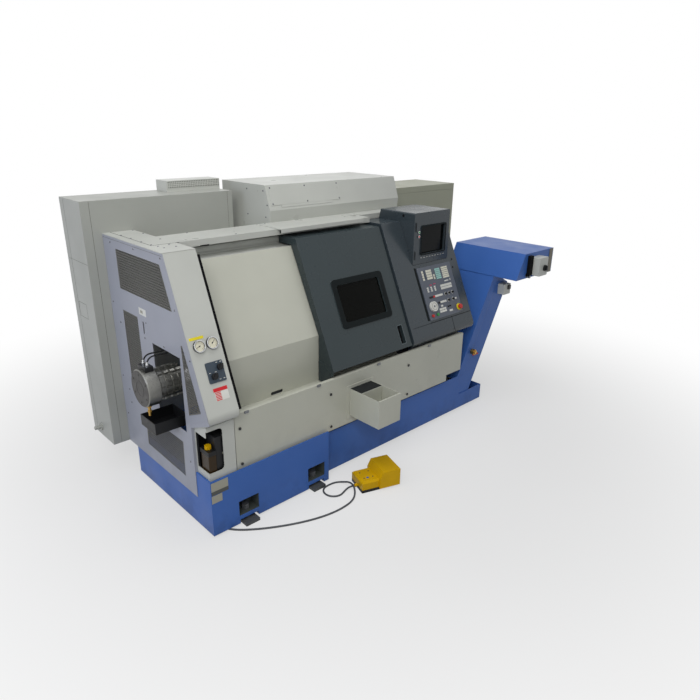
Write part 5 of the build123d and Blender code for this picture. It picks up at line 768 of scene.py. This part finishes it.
def gauge_faces():
    gauges = Shape("gauge_faces")
    for (x, z), hand_angle in zip(GAUGE_PLACES, GAUGE_HANDS):
        c = (x, gauge_up(z))
        gauges.ring(GAUGE, c, CASE_RADIUS, CASE_BORE, 0, CASE_TOP, "gauge", 48)
        gauges.ring(GAUGE, c, RIM_RADIUS, RIM_BORE, CASE_TOP, RIM_TOP, "chrome", 48)
        gauges.disc(GAUGE, c, DIAL_RADIUS, 0, DIAL_TOP, "dial", 48)
        for k in range(TICKS):
            a = math.radians(FIRST_TICK - k * TICK_STEP)
            reach = SHORT_TICK if k % LONG_EVERY else LONG_TICK
            r = TICK_CIRCLE - reach / 2
            tick = turned(GAUGE, (c[0] + r * math.cos(a), c[1] + r * math.sin(a)), a)
            gauges.plate(tick, about(0, reach / 2), about(0, TICK_HALF), DIAL_TOP, TICK_TOP, "ink")
        hand = turned(GAUGE, c, math.radians(hand_angle))
        gauges.prism(hand, HAND_OUTLINE, HAND_LOW, HAND_HIGH, "ink")
        gauges.disc(GAUGE, c, HUB_RADIUS, DIAL_TOP, HUB_TOP, "ink", 20)
    gauges.done(replaces=("pressure_gauges",))


gauge_faces()


# Plain labels and switch marks of the leaning cover, a dark strip of painted shadow along its right edge,
# and the plates on the base's front
COVER_LABELS = (
    ((14, 97), (1157, 1171), 0.8, "label_yellow"),
    ((70, 154), (888, 906), 0.8, "label_red"),
    ((74, 154), (842, 887), 0.6, "white"),
)
RED_ROWS, RED_X, RED_FOOT, RED_PITCH, RED_HEIGHT = 6, (76, 110), 844, 8, 5
RED_LOW, RED_HIGH = 0.6, 0.8
SWITCH_MARKS = ((128, 1028), (152, 1028), (76, 984), (110, 984), (126, 944), (150, 944))
MARK_HALF_X, MARK_HALF_Y, MARK_LOW, MARK_HIGH = 5, 1.5, 6, 6.3
SHADOW_GAP_X = extent("gauge_cover")[0][1]
SHADOW_GAP_WIDTH, SHADOW_GAP_UP, SHADOW_GAP_LOW, SHADOW_GAP_HIGH = 17, (gauge_up(770), gauge_up(1560)), -16, -3
BASE_LABELS = (
    ((4, 112), (305, 360), "label_silver"),
    ((4, 112), (280, 305), "label_dark"),
    ((3, 70), (228, 277), "label_silver"),
)
BASE_LABEL_RISE = 1.0


def cover_labels():
    labels = Shape("cover_labels")
    for x, z, high, look in COVER_LABELS:
        labels.plate(GAUGE, x, (gauge_up(z[0]), gauge_up(z[1])), 0, high, look)
    for row in range(RED_ROWS):
        low = gauge_up(RED_FOOT) + row * RED_PITCH
        labels.plate(GAUGE, RED_X, (low, low + RED_HEIGHT), RED_LOW, RED_HIGH, "label_red")
    for x, z in SWITCH_MARKS:
        mark_x, mark_up = about(x, MARK_HALF_X), about(gauge_up(z), MARK_HALF_Y)
        labels.plate(GAUGE, mark_x, mark_up, MARK_LOW, MARK_HIGH, "white")
    # dark strip along the gauge cover's right edge: painted shadow of the gap beside the cream cover
    labels.plate(GAUGE, (SHADOW_GAP_X, SHADOW_GAP_X + SHADOW_GAP_WIDTH), SHADOW_GAP_UP, SHADOW_GAP_LOW, SHADOW_GAP_HIGH, "gap")
    for x, z, look in BASE_LABELS:
        labels.plate(facing_front(0), x, z, 0, BASE_LABEL_RISE, look)
    labels.done()


cover_labels()


# Lubricator behind the corner window, with dark sheets of painted shade behind it
OIL_X, OIL_Y, OIL_Z = extent("oil_reservoir")
LUBE_X, LUBE_Y, LUBE_Z = extent("lubricator")
OIL_RIM, OIL_RIM_DEPTH, OIL_RIM_RISE = 2, 26, 0.4
LUBE_LABEL_X, LUBE_LABEL_Z, LUBE_LABEL_RISE = (LUBE_X[0] + 40, LUBE_X[0] + 72), (498, 510), 0.6
LEVEL_MARKS, LEVEL_X = 6, (LUBE_X[0] + 46, LUBE_X[0] + 70)
LEVEL_FOOT, LEVEL_PITCH, LEVEL_HEIGHT, LEVEL_RISE = 432, 10, 2, 0.5
SHADE_SHEET_INSET, SHADE_SHEET_THICKNESS, SHADE_SHEET_TOP = 4, 2, 690


def lubricator_details():
    oil = Shape("lubricator_details")
    rim_x, rim_z = (OIL_X[0] - OIL_RIM, OIL_X[1]), (OIL_Z[1] - OIL_RIM_DEPTH, OIL_Z[1] + OIL_RIM_RISE)
    oil.box(rim_x, grown(OIL_Y, OIL_RIM), rim_z, "black")
    face = facing_front(LUBE_Y[0])
    oil.plate(face, LUBE_LABEL_X, LUBE_LABEL_Z, 0, LUBE_LABEL_RISE, "label_silver")
    for k in range(LEVEL_MARKS):
        low = LEVEL_FOOT + LEVEL_PITCH * k
        oil.plate(face, LEVEL_X, (low, low + LEVEL_HEIGHT), 0, LEVEL_RISE, "ink")
    left, right = grown(CORNER_X, -SHADE_SHEET_INSET)
    back, shade_sheet_z = LUBE_Y[1] + SHADE_SHEET_INSET, (LUBE_Z[0], SHADE_SHEET_TOP)
    # two dark sheets behind the lubricator are painted shade inside the corner window
    oil.box((left, right), (back, back + SHADE_SHEET_THICKNESS), shade_sheet_z, "gap")
    oil.box((left, left + SHADE_SHEET_THICKNESS), (OIL_Y[1] + SHADE_SHEET_INSET, back), shade_sheet_z, "gap")
    oil.done(bevel=1.0)


lubricator_details()


# Keyboard: shares of its width and height are left, bottom, width, height, then columns and rows
KEYS = (
    (0.095, 0.745, 0.050, 0.190, 1, 4, "cream_key"), (0.160, 0.760, 0.030, 0.170, 1, 4, "switch_grey"),
    (0.220, 0.745, 0.160, 0.190, 3, 4, "cream_key"), (0.485, 0.720, 0.150, 0.210, 2, 6, "teal_key"),
    (0.685, 0.710, 0.185, 0.225, 3, 6, "cream_key"), (0.410, 0.730, 0.040, 0.100, 1, 2, "cream_key"),
    (0.130, 0.515, 0.045, 0.100, 1, 3, "white"), (0.235, 0.515, 0.045, 0.100, 1, 3, "white"),
    (0.340, 0.515, 0.045, 0.100, 1, 3, "white"), (0.230, 0.630, 0.065, 0.022, 1, 1, "label_pink"),
    (0.345, 0.640, 0.065, 0.022, 1, 1, "label_pink"), (0.530, 0.505, 0.340, 0.100, 6, 2, "white"),
    (0.690, 0.640, 0.120, 0.030, 4, 1, "white"), (0.850, 0.640, 0.030, 0.045, 1, 2, "white"),
    (0.130, 0.395, 0.114, 0.045, 2, 1, "black"), (0.244, 0.395, 0.057, 0.045, 1, 1, "red"),
    (0.301, 0.395, 0.229, 0.045, 4, 1, "white"), (0.340, 0.260, 0.063, 0.045, 1, 1, "black"),
    (0.403, 0.260, 0.187, 0.045, 3, 1, "white"), (0.860, 0.262, 0.050, 0.040, 1, 1, "white"),
    (0.325, 0.085, 0.200, 0.090, 3, 2, "white"), (0.395, 0.190, 0.060, 0.040, 1, 1, "white"),
    (0.605, 0.060, 0.100, 0.045, 2, 1, "white"),
)
OVERRIDES = ((0.625, 0.414), (0.731, 0.414), (0.837, 0.414), (0.665, 0.283), (0.802, 0.283))
SMALL_KNOBS = ((0.600, 0.165), (0.660, 0.170))
BOARD_X, BOARD_Z = extent("keyboard_panel")[0], (866, 1226)
BOARD_TOP, BOARD_CORNER = 6, 8
KEY_TOP, KEY_GAP_X, KEY_GAP_Y = 9, 1.2, 1.4
SCALE_RADIUS, SCALE_TOP = 13, 6.4
KNOB_RADIUS, KNOB_CROWN, KNOB_TOP = 10, 8, 16
POINTER_HALF_X, POINTER_HALF_Y, POINTER_TOP = 1.6, 8, 18
SMALL_RADIUS, SMALL_CROWN, SMALL_TOP = 7, 5, 14
STOP_X, STOP_Z = BOARD_X[0] + 352, 903
STOP_OUTER, STOP_INNER, STOP_TOP = 26, 11.4, 10
BOARD_SCREW_INSET, BOARD_SCREW_RADIUS = 10, 4
WHEEL_PLACE, WHEEL_TOP = (BOARD_X[0] + 65, door_up(953)), 22.3
WHEEL_LINE_OUTER, WHEEL_LINE_INNER, WHEEL_LINE_RISE = 27, 25, 0.3
WHEEL_HUB_RADIUS, WHEEL_HUB_RISE = 7, 0.6


def keyboard():
    x0, width = BOARD_X[0], BOARD_X[1] - BOARD_X[0]
    y0 = door_up(BOARD_Z[0])
    height = door_up(BOARD_Z[1]) - y0
    board = Shape("keyboard_face")
    board.plate(CONSOLE, BOARD_X, (y0, y0 + height), 0, BOARD_TOP, "keys", BOARD_CORNER)
    for left, bottom, w, h, columns, rows, look in KEYS:
        px, py = w * width / columns, h * height / rows
        for i in range(columns):
            for j in range(rows):
                kx = x0 + left * width + i * px
                ky = y0 + bottom * height + j * py
                key_x, key_y = grown((kx, kx + px), -KEY_GAP_X), grown((ky, ky + py), -KEY_GAP_Y)
                board.plate(CONSOLE, key_x, key_y, BOARD_TOP, KEY_TOP, look)
    for across, up in OVERRIDES:
        x, y = x0 + across * width, y0 + up * height
        board.ring(CONSOLE, (x, y), SCALE_RADIUS, KNOB_RADIUS, BOARD_TOP, SCALE_TOP, "white", 24)
        board.disc(CONSOLE, (x, y), KNOB_RADIUS, BOARD_TOP, KNOB_TOP, "black", 24, KNOB_CROWN)
        pointer_x, pointer_y = about(x, POINTER_HALF_X), about(y, POINTER_HALF_Y)
        board.plate(CONSOLE, pointer_x, pointer_y, KNOB_TOP, POINTER_TOP, "black")
    for across, up in SMALL_KNOBS:
        place = (x0 + across * width, y0 + up * height)
        board.disc(CONSOLE, place, SMALL_RADIUS, BOARD_TOP, SMALL_TOP, "black", 20, SMALL_CROWN)
    stop_place = (STOP_X, door_up(STOP_Z))
    board.ring(CONSOLE, stop_place, STOP_OUTER, STOP_INNER, BOARD_TOP, STOP_TOP, "label_yellow", 40)
    for x in grown(BOARD_X, -BOARD_SCREW_INSET):
        for z in grown(BOARD_Z, -BOARD_SCREW_INSET):
            board.screw(CONSOLE, (x, door_up(z)), BOARD_TOP, BOARD_SCREW_RADIUS)
    board.done(replaces=("keyboard_panel",))


def handwheel_marks():
    marks = Shape("handwheel_marks", "hand_wheel")
    line_top, hub_top = WHEEL_TOP + WHEEL_LINE_RISE, WHEEL_TOP + WHEEL_HUB_RISE
    marks.ring(CONSOLE, WHEEL_PLACE, WHEEL_LINE_OUTER, WHEEL_LINE_INNER, WHEEL_TOP, line_top, "seam", 40)
    marks.disc(CONSOLE, WHEEL_PLACE, WHEEL_HUB_RADIUS, WHEEL_TOP, hub_top, "switch_grey", 24)
    marks.done()


keyboard()
handwheel_marks()


# Console seams, a dark strip of painted shadow beside the keyboard, and two plugs
CONSOLE_X = extent("console_housing")[0]
SEAM_UP, SEAM_X, SEAM_HALF = door_up(850), CONSOLE_X[0] + 470, 1.5
LEVEL_SEAM_X = (CONSOLE_X[0] + 26, CONSOLE_X[1] - 2)
SEAM_FOOT, SEAM_LOW, SEAM_HIGH = door_up(748), -1, 0.4
SHADOW_STRIP_X, SHADOW_STRIP_UP = (BOARD_X[0] - 24, BOARD_X[0] - 4), (door_up(868), door_up(1232))
SHADOW_STRIP_RISE, SHADOW_STRIP_CORNER = 0.5, 3
CONSOLE_PLUGS, CONSOLE_PLUG_RADIUS, CONSOLE_PLUG_RISE = ((2339, 1182), (2352, 1238)), 7, 1.5


def console_seams():
    lines = Shape("console_seams")
    lines.plate(CONSOLE, LEVEL_SEAM_X, about(SEAM_UP, SEAM_HALF), SEAM_LOW, SEAM_HIGH, "gap")
    lines.plate(CONSOLE, about(SEAM_X, SEAM_HALF), (SEAM_FOOT, SEAM_UP), SEAM_LOW, SEAM_HIGH, "gap")
    # dark strip beside the keyboard's left edge is painted shadow of the step there
    lines.plate(CONSOLE, SHADOW_STRIP_X, SHADOW_STRIP_UP, 0, SHADOW_STRIP_RISE, "seal", SHADOW_STRIP_CORNER)
    for x, z in CONSOLE_PLUGS:
        lines.disc(CONSOLE, (x, door_up(z)), CONSOLE_PLUG_RADIUS, 0, CONSOLE_PLUG_RISE, "gap", 20)
    lines.done()


console_seams()


# Monitor: bezel, row of soft key marks, two lamps and slots
MONITOR_X, MONITOR_Y = extent("monitor_housing")[:2]
SCREEN_X, SCREEN_Z = extent("screen")[0], extent("screen")[2]
BEZEL_OUTSET, BEZEL_BORDER, BEZEL_RISE, BEZEL_CORNERS = 8, 9, 4, (12, 10)
SOFT_KEYS, SOFT_SHIFT, SOFT_PITCH, SOFT_WIDTH = 9, 2, 32, 15
SOFT_Z, SOFT_RISE = (1296, 1300), 1
LAMP_X, LAMP_HEIGHTS = 1949, ((1488, "green"), (1457, "red"))
LAMP_RIM, LAMP_RADIUS, LAMP_CROWN, LAMP_RIM_RISE, LAMP_RISE = 10, 7.2, 5, 3, 6
SLOT_X, SLOT_HEIGHTS = (MONITOR_X[0] + 12, MONITOR_X[0] + 19), ((1492, 1560), (1290, 1352))
SLOT_RISE, SLOT_CORNER = 0.8, 3
PLUG_PLACE, PLUG_RADIUS, PLUG_RISE = (-362, 1599), 10, 1.2


def monitor_bezel():
    face = facing_front(MONITOR_Y[0])
    bezel = Shape("monitor_bezel")
    bezel_x, bezel_z = grown(SCREEN_X, BEZEL_OUTSET), grown(SCREEN_Z, BEZEL_OUTSET)
    bezel.frame(face, bezel_x, bezel_z, BEZEL_BORDER, 0, BEZEL_RISE, "seal", *BEZEL_CORNERS)
    for i in range(SOFT_KEYS):
        x = SCREEN_X[0] - SOFT_SHIFT + i * SOFT_PITCH
        bezel.plate(face, (x, x + SOFT_WIDTH), SOFT_Z, 0, SOFT_RISE, "white")
    for z, look in LAMP_HEIGHTS:
        bezel.ring(face, (LAMP_X, z), LAMP_RIM, LAMP_RADIUS, 0, LAMP_RIM_RISE, "chrome", 24)
        bezel.disc(face, (LAMP_X, z), LAMP_RADIUS, 0, LAMP_RISE, look, 20, LAMP_CROWN)
    for z in SLOT_HEIGHTS:
        bezel.plate(face, SLOT_X, z, 0, SLOT_RISE, "gap", SLOT_CORNER)
    bezel.disc(facing_left(MONITOR_X[0]), PLUG_PLACE, PLUG_RADIUS, 0, PLUG_RISE, "gap", 24)
    bezel.done(bevel=0.8)


monitor_bezel()


# Door: seal of the window, handle with a dark plate of painted shade in its recess, and lower part of the
# left side with its outline in station Y and Z
PANE_X, PANE_UP = (1152, 1538), (door_up(1001), door_up(1227))
PANE_BORDER, PANE_LOW, PANE_HIGH, PANE_CORNERS, PANE_STEPS = 40, 5, 6.5, (28, 14), 8
HANDLE_X, HANDLE_UP = (1590, 1636), (door_up(775), door_up(893))
HANDLE_BORDER, HANDLE_RISE, HANDLE_CORNERS = 5, 1.6, (11, 8)
POCKET_INSET, POCKET_LOW, POCKET_HIGH, POCKET_CORNER = 1, -25.5, -25, 7
PANEL_Y, PANEL_TOP = extent("front_panel")[1][0], extent("front_panel")[2][1]
DOOR_LEFT, SIDE_FOOT = extent("door_panel")[0][0], extent("door_panel")[2][0] + 6
COVER_DECK = extent("fixed_front_cover")[2][0] + 4
SKIRT_FOOT, SKIRT_TOP, SKIRT_REAR = COVER_DECK + 6, SIDE_FOOT + 30, 184
PANEL_BACK, PANEL_LEDGE = 64, PANEL_TOP + 5
SKIRT_OUTLINE = (
    (SKIRT_REAR, SKIRT_FOOT), (PANEL_BACK, SKIRT_FOOT), (PANEL_BACK, PANEL_LEDGE), (44, PANEL_LEDGE),
    (38, SIDE_FOOT), (54, SKIRT_TOP), (SKIRT_REAR, SKIRT_TOP),
)
SKIRT_LOW, SKIRT_HIGH = -3, 0.4


def door_details():
    seal = Shape("window_seal", "door")
    seal_x, seal_up = grown(PANE_X, PANE_BORDER), grown(PANE_UP, PANE_BORDER)
    seal.frame(DOOR, seal_x, seal_up, PANE_BORDER, PANE_LOW, PANE_HIGH, "seal", *PANE_CORNERS, PANE_STEPS)
    seal.done(bevel=0.8)
    handle = Shape("handle_rim", "door")
    rim_x, rim_up = grown(HANDLE_X, HANDLE_BORDER), grown(HANDLE_UP, HANDLE_BORDER)
    handle.frame(DOOR, rim_x, rim_up, HANDLE_BORDER, 0, HANDLE_RISE, "rim", *HANDLE_CORNERS)
    pocket_x, pocket_up = grown(HANDLE_X, -POCKET_INSET), grown(HANDLE_UP, -POCKET_INSET)
    # dark plate deep in the handle recess is painted shade of the hollow
    handle.plate(DOOR, pocket_x, pocket_up, POCKET_LOW, POCKET_HIGH, "gap", POCKET_CORNER)
    handle.done(bevel=0.5)
    skirt = Shape("door_skirt", "door")
    places = [(-y, z) for y, z in SKIRT_OUTLINE]
    skirt.prism(facing_left(DOOR_LEFT), places, SKIRT_LOW, SKIRT_HIGH, "door_grey")
    skirt.done()


door_details()


# Front panel: bolt heads, clips, dark linings inside the foot windows as painted shade, and the mat of the
# parts tray
PANEL_BOLTS = ((222, 616), (225, 389), (901, 613), (904, 384), (1640, 610), (1640, 384))
BOLT_RADIUS, BOLT_RISE = 9, 3
PANEL_CLIPS, CLIP_HALF, CLIP_Z, CLIP_RISE, CLIP_CORNER = (270, 800, 1330, 1860), 15, (698, 713), 5, 3
FOOT_WINDOWS_X, WINDOW_HALF, WINDOW_Y, WINDOW_Z = (243, 760), 69, (2, 89), (67, 163)
LINING, SILL = 1, 0.8
TRAY_X, TRAY_Z = extent("parts_tray")[0], extent("parts_tray")[2]
MAT_INSET, MAT_Y, MAT_DEPTH = 5, (-80, 52), 6
DIVIDER_Y, DIVIDER_FOOT, DIVIDER_DROP = (-84, -80), 10, 2


def front_details():
    parts = Shape("front_fittings")
    face = facing_front(PANEL_Y)
    for place in PANEL_BOLTS:
        parts.disc(face, place, BOLT_RADIUS, 0, BOLT_RISE, "ink", 20)
    for x in PANEL_CLIPS:
        parts.plate(face, about(x, CLIP_HALF), CLIP_Z, 0, CLIP_RISE, "screw", CLIP_CORNER)
    for x in FOOT_WINDOWS_X:
        left, right = about(x, WINDOW_HALF - LINING)
        # dark sheets on the back wall, right wall and sill are painted shade inside the window
        parts.box((left, right), (WINDOW_Y[1] - LINING, WINDOW_Y[1]), WINDOW_Z, "pocket")
        parts.box((right - LINING, right), WINDOW_Y, WINDOW_Z, "pocket")
        parts.box((left, right), WINDOW_Y, (WINDOW_Z[0] - SILL, WINDOW_Z[0]), "pocket")
    parts.done(bevel=0.3)
    mat = Shape("tray_mat", "tray")
    mat_x = grown(TRAY_X, -MAT_INSET)
    mat.box(mat_x, MAT_Y, (TRAY_Z[1] - MAT_DEPTH, TRAY_Z[1]), "mat")
    mat.box(mat_x, DIVIDER_Y, (TRAY_Z[0] + DIVIDER_FOOT, TRAY_Z[1] - DIVIDER_DROP), "cream")
    mat.done()


front_details()


# Foot switch: black base below the yellow body, screws and a plain blue field on its top
FOOT_PLACE, FOOT_TURN = (955, -176), math.radians(-18.9)
FOOT_LENGTH, FOOT_HALF, FOOT_TOP = 132, 80, 78
SOLE_OUTSET, SOLE_SHORT, SOLE_LOW, SOLE_HIGH, SOLE_CORNER = 2, 1, 0.6, 20, 6
FOOT_SCREWS = ((34, -34), (34, 34), (96, -34), (96, 34))
FOOT_SCREW_RADIUS, FOOT_SCREW_SINK, FOOT_SCREW_RISE = 5, 1, 0.8
FIELD_X, FIELD_Y, FIELD_RISE = (50, 66), (-42, -26), 0.6


def foot_switch_details():
    foot = Shape("foot_switch_base")
    ground = turned(FLOOR, FOOT_PLACE, FOOT_TURN)
    sole_x, sole_y = (-SOLE_OUTSET, FOOT_LENGTH - SOLE_SHORT), about(0, FOOT_HALF + SOLE_OUTSET)
    foot.plate(ground, sole_x, sole_y, SOLE_LOW, SOLE_HIGH, "black", SOLE_CORNER)
    low, high = FOOT_TOP - FOOT_SCREW_SINK, FOOT_TOP + FOOT_SCREW_RISE
    for place in FOOT_SCREWS:
        foot.disc(ground, place, FOOT_SCREW_RADIUS, low, high, "ink", 16)
    foot.plate(ground, FIELD_X, FIELD_Y, FOOT_TOP, FOOT_TOP + FIELD_RISE, "blue")
    foot.done(bevel=1.0)


foot_switch_details()


# Roof and top box: screws and the access panel on the sloping front of the box
ROOF_TOP = 1590
ROOF_SCREWS = (
    (49, 897), (51, 771), (50, 638), (53, 524), (62, 463), (68, 406), (133, 477), (135, 403),
    (176, 1020), (176, 880), (170, 652), (382, 734), (588, 522), (940, 720),
)
SLOPE_FOOT, SLOPE_WAY = (0, 738, 1666), (0, 57, 160)
ACCESS_X, ACCESS_UP, ACCESS_RISE = (1020, 1642), (33, 160), 2.4
ACCESS_SCREWS_X, ACCESS_SCREWS_UP = (1034, 1330, 1628), (43, 150)
BOX_LEFT = extent("rear_top_cover")[0][0]
BOX_SCREWS = ((770, 1700), (812, 1790), (1000, 1790), (790, 1620), (1000, 1620))


def roof_screws():
    dots = Shape("roof_screws")
    top = facing_up(ROOF_TOP)
    for place in ROOF_SCREWS:
        dots.screw(top, place)
    slope = Face(SLOPE_FOOT, (1, 0, 0), SLOPE_WAY)
    dots.plate(slope, ACCESS_X, ACCESS_UP, 0, ACCESS_RISE, "beige")
    for x in ACCESS_SCREWS_X:
        for up in ACCESS_SCREWS_UP:
            dots.screw(slope, (x, up), ACCESS_RISE)
    side_face = facing_left(BOX_LEFT)
    for y, z in BOX_SCREWS:
        dots.screw(side_face, (-y, z))
    dots.done()


roof_screws()


# Seams of the roof and of the cabinet's left side and front
CABINET_X = extent("cabinet_door")[0]
CABINET_Y, CABINET_Z = extent("electric_cabinet")[1:]
SEAM_RISE = 0.4
ROOF_SEAMS = (((43, 46), (505, 1036)), ((43, 208), (502, 505)))
CABINET_SIDE_SEAMS = (((-CABINET_Y[1] + 4, -CABINET_Y[0] - 4), (1410, 1412)), ((-1300, -1298), (220, 1770)))
HATCH_X, HATCH_Z = (-1290, -1165), (1045, 1141)
HATCH_BORDER, HATCH_RISE, HATCH_CORNERS = 2, 0.5, (3, 2)
CABINET_TOP = CABINET_Z[1] - 4
CABINET_FRONT_SEAMS = (((-60, -58), (CABINET_Z[0] + 6, CABINET_TOP)), ((866, 868), (1440, CABINET_TOP)))


def panel_seams():
    seams = Shape("panel_seams")
    for x, y in ROOF_SEAMS:
        seams.plate(facing_up(ROOF_TOP), x, y, 0, SEAM_RISE, "gap")
    side_face = facing_left(CABINET_X[0])
    for x, z in CABINET_SIDE_SEAMS:
        seams.plate(side_face, x, z, 0, SEAM_RISE, "seam")
    seams.frame(side_face, HATCH_X, HATCH_Z, HATCH_BORDER, 0, HATCH_RISE, "seam", *HATCH_CORNERS)
    for x, z in CABINET_FRONT_SEAMS:
        seams.plate(facing_front(CABINET_Y[0]), x, z, 0, SEAM_RISE, "seam")
    seams.done()


panel_seams()


# Mesh of the fan box, and clips below the roof's front edge: place, span, heights, bottom, top, look, corner
LIP_Y, NOTCH_Y = 505, 460
HEADER_CLIPS = (
    (LIP_Y, (335, 392), (1550, 1556), 0, 4, "gap", 2),
    (LIP_Y, (552, 604), (1550, 1554), 0, 3, "seam", 1),
    (NOTCH_Y, (868, 876), (1572, 1590), -4, 0, "gap", 0),
)
FAN_Y = extent("cabinet_fan_box")[1][0]
FAN_X, FAN_Z = (513, 896), (1804, 1845)
FAN_PITCH, FAN_BAR, FAN_LOW, FAN_HIGH, FAN_BORDER = 13.0, 6.0, 0.4, 1.6, 4
FAN_BACK_INSET, FAN_BACK_LOW, FAN_BACK_HIGH = 1, 0.1, 0.3


def header_clips():
    header = Shape("header_clips")
    for y, x, z, low, high, look, corner in HEADER_CLIPS:
        header.plate(facing_front(y), x, z, low, high, look, corner)
    header.done()


def fan_mesh():
    fan = Shape("fan_mesh")
    face = facing_front(FAN_Y)
    corners = [(FAN_X[0], FAN_Z[0]), (FAN_X[1], FAN_Z[0]), (FAN_X[1], FAN_Z[1]), (FAN_X[0], FAN_Z[1])]
    perforated(fan, face, corners, FAN_PITCH, FAN_BAR, FAN_LOW, FAN_HIGH, "beige", FAN_BORDER)
    back_x, back_z = grown(FAN_X, -FAN_BACK_INSET), grown(FAN_Z, -FAN_BACK_INSET)
    fan.plate(face, back_x, back_z, FAN_BACK_LOW, FAN_BACK_HIGH, "seam")
    fan.done()


header_clips()
fan_mesh()


# Conveyor: strap, a black cable duct beside the isolator that also paints the shade of the isolator box's
# left side, with its gland, and the gland of the junction box
HOOD_Y, HOOD_Z = extent("conveyor_hood")[1][0], extent("conveyor_hood")[2]
STRAP_X, STRAP_Z, STRAP_RISE = (3128, 3176), (HOOD_Z[0] + 2, HOOD_Z[1] - 1), 5
DUCT_SHADE_X, DUCT_SHADE_Z, DUCT_SHADE_RISE = (2806, 2850), (1108, 1266), 26
DUCT_GLAND, DUCT_GLAND_RADIUS, DUCT_GLAND_LOW, DUCT_GLAND_HIGH = (2828, 1098), 11, 2, 24
JUNCTION_Y, JUNCTION_X, JUNCTION_Z, JUNCTION_RISE, JUNCTION_CORNER = 3, (2806, 2842), (966, 1000), 10, 3


def conveyor_details():
    face = facing_front(HOOD_Y)
    bits = Shape("conveyor_fittings")
    bits.plate(face, STRAP_X, STRAP_Z, 0, STRAP_RISE, "strap")
    # the dark box is a black cable duct and also painted shade of the isolator box's shaded left side
    bits.plate(face, DUCT_SHADE_X, DUCT_SHADE_Z, 0, DUCT_SHADE_RISE, "gap")
    bits.disc(face, DUCT_GLAND, DUCT_GLAND_RADIUS, DUCT_GLAND_LOW, DUCT_GLAND_HIGH, "screw", 16)
    bits.plate(facing_front(JUNCTION_Y), JUNCTION_X, JUNCTION_Z, 0, JUNCTION_RISE, "black", JUNCTION_CORNER)
    bits.done(bevel=0.8)


conveyor_details()

bpy.context.scene.view_settings.view_transform = "Standard"
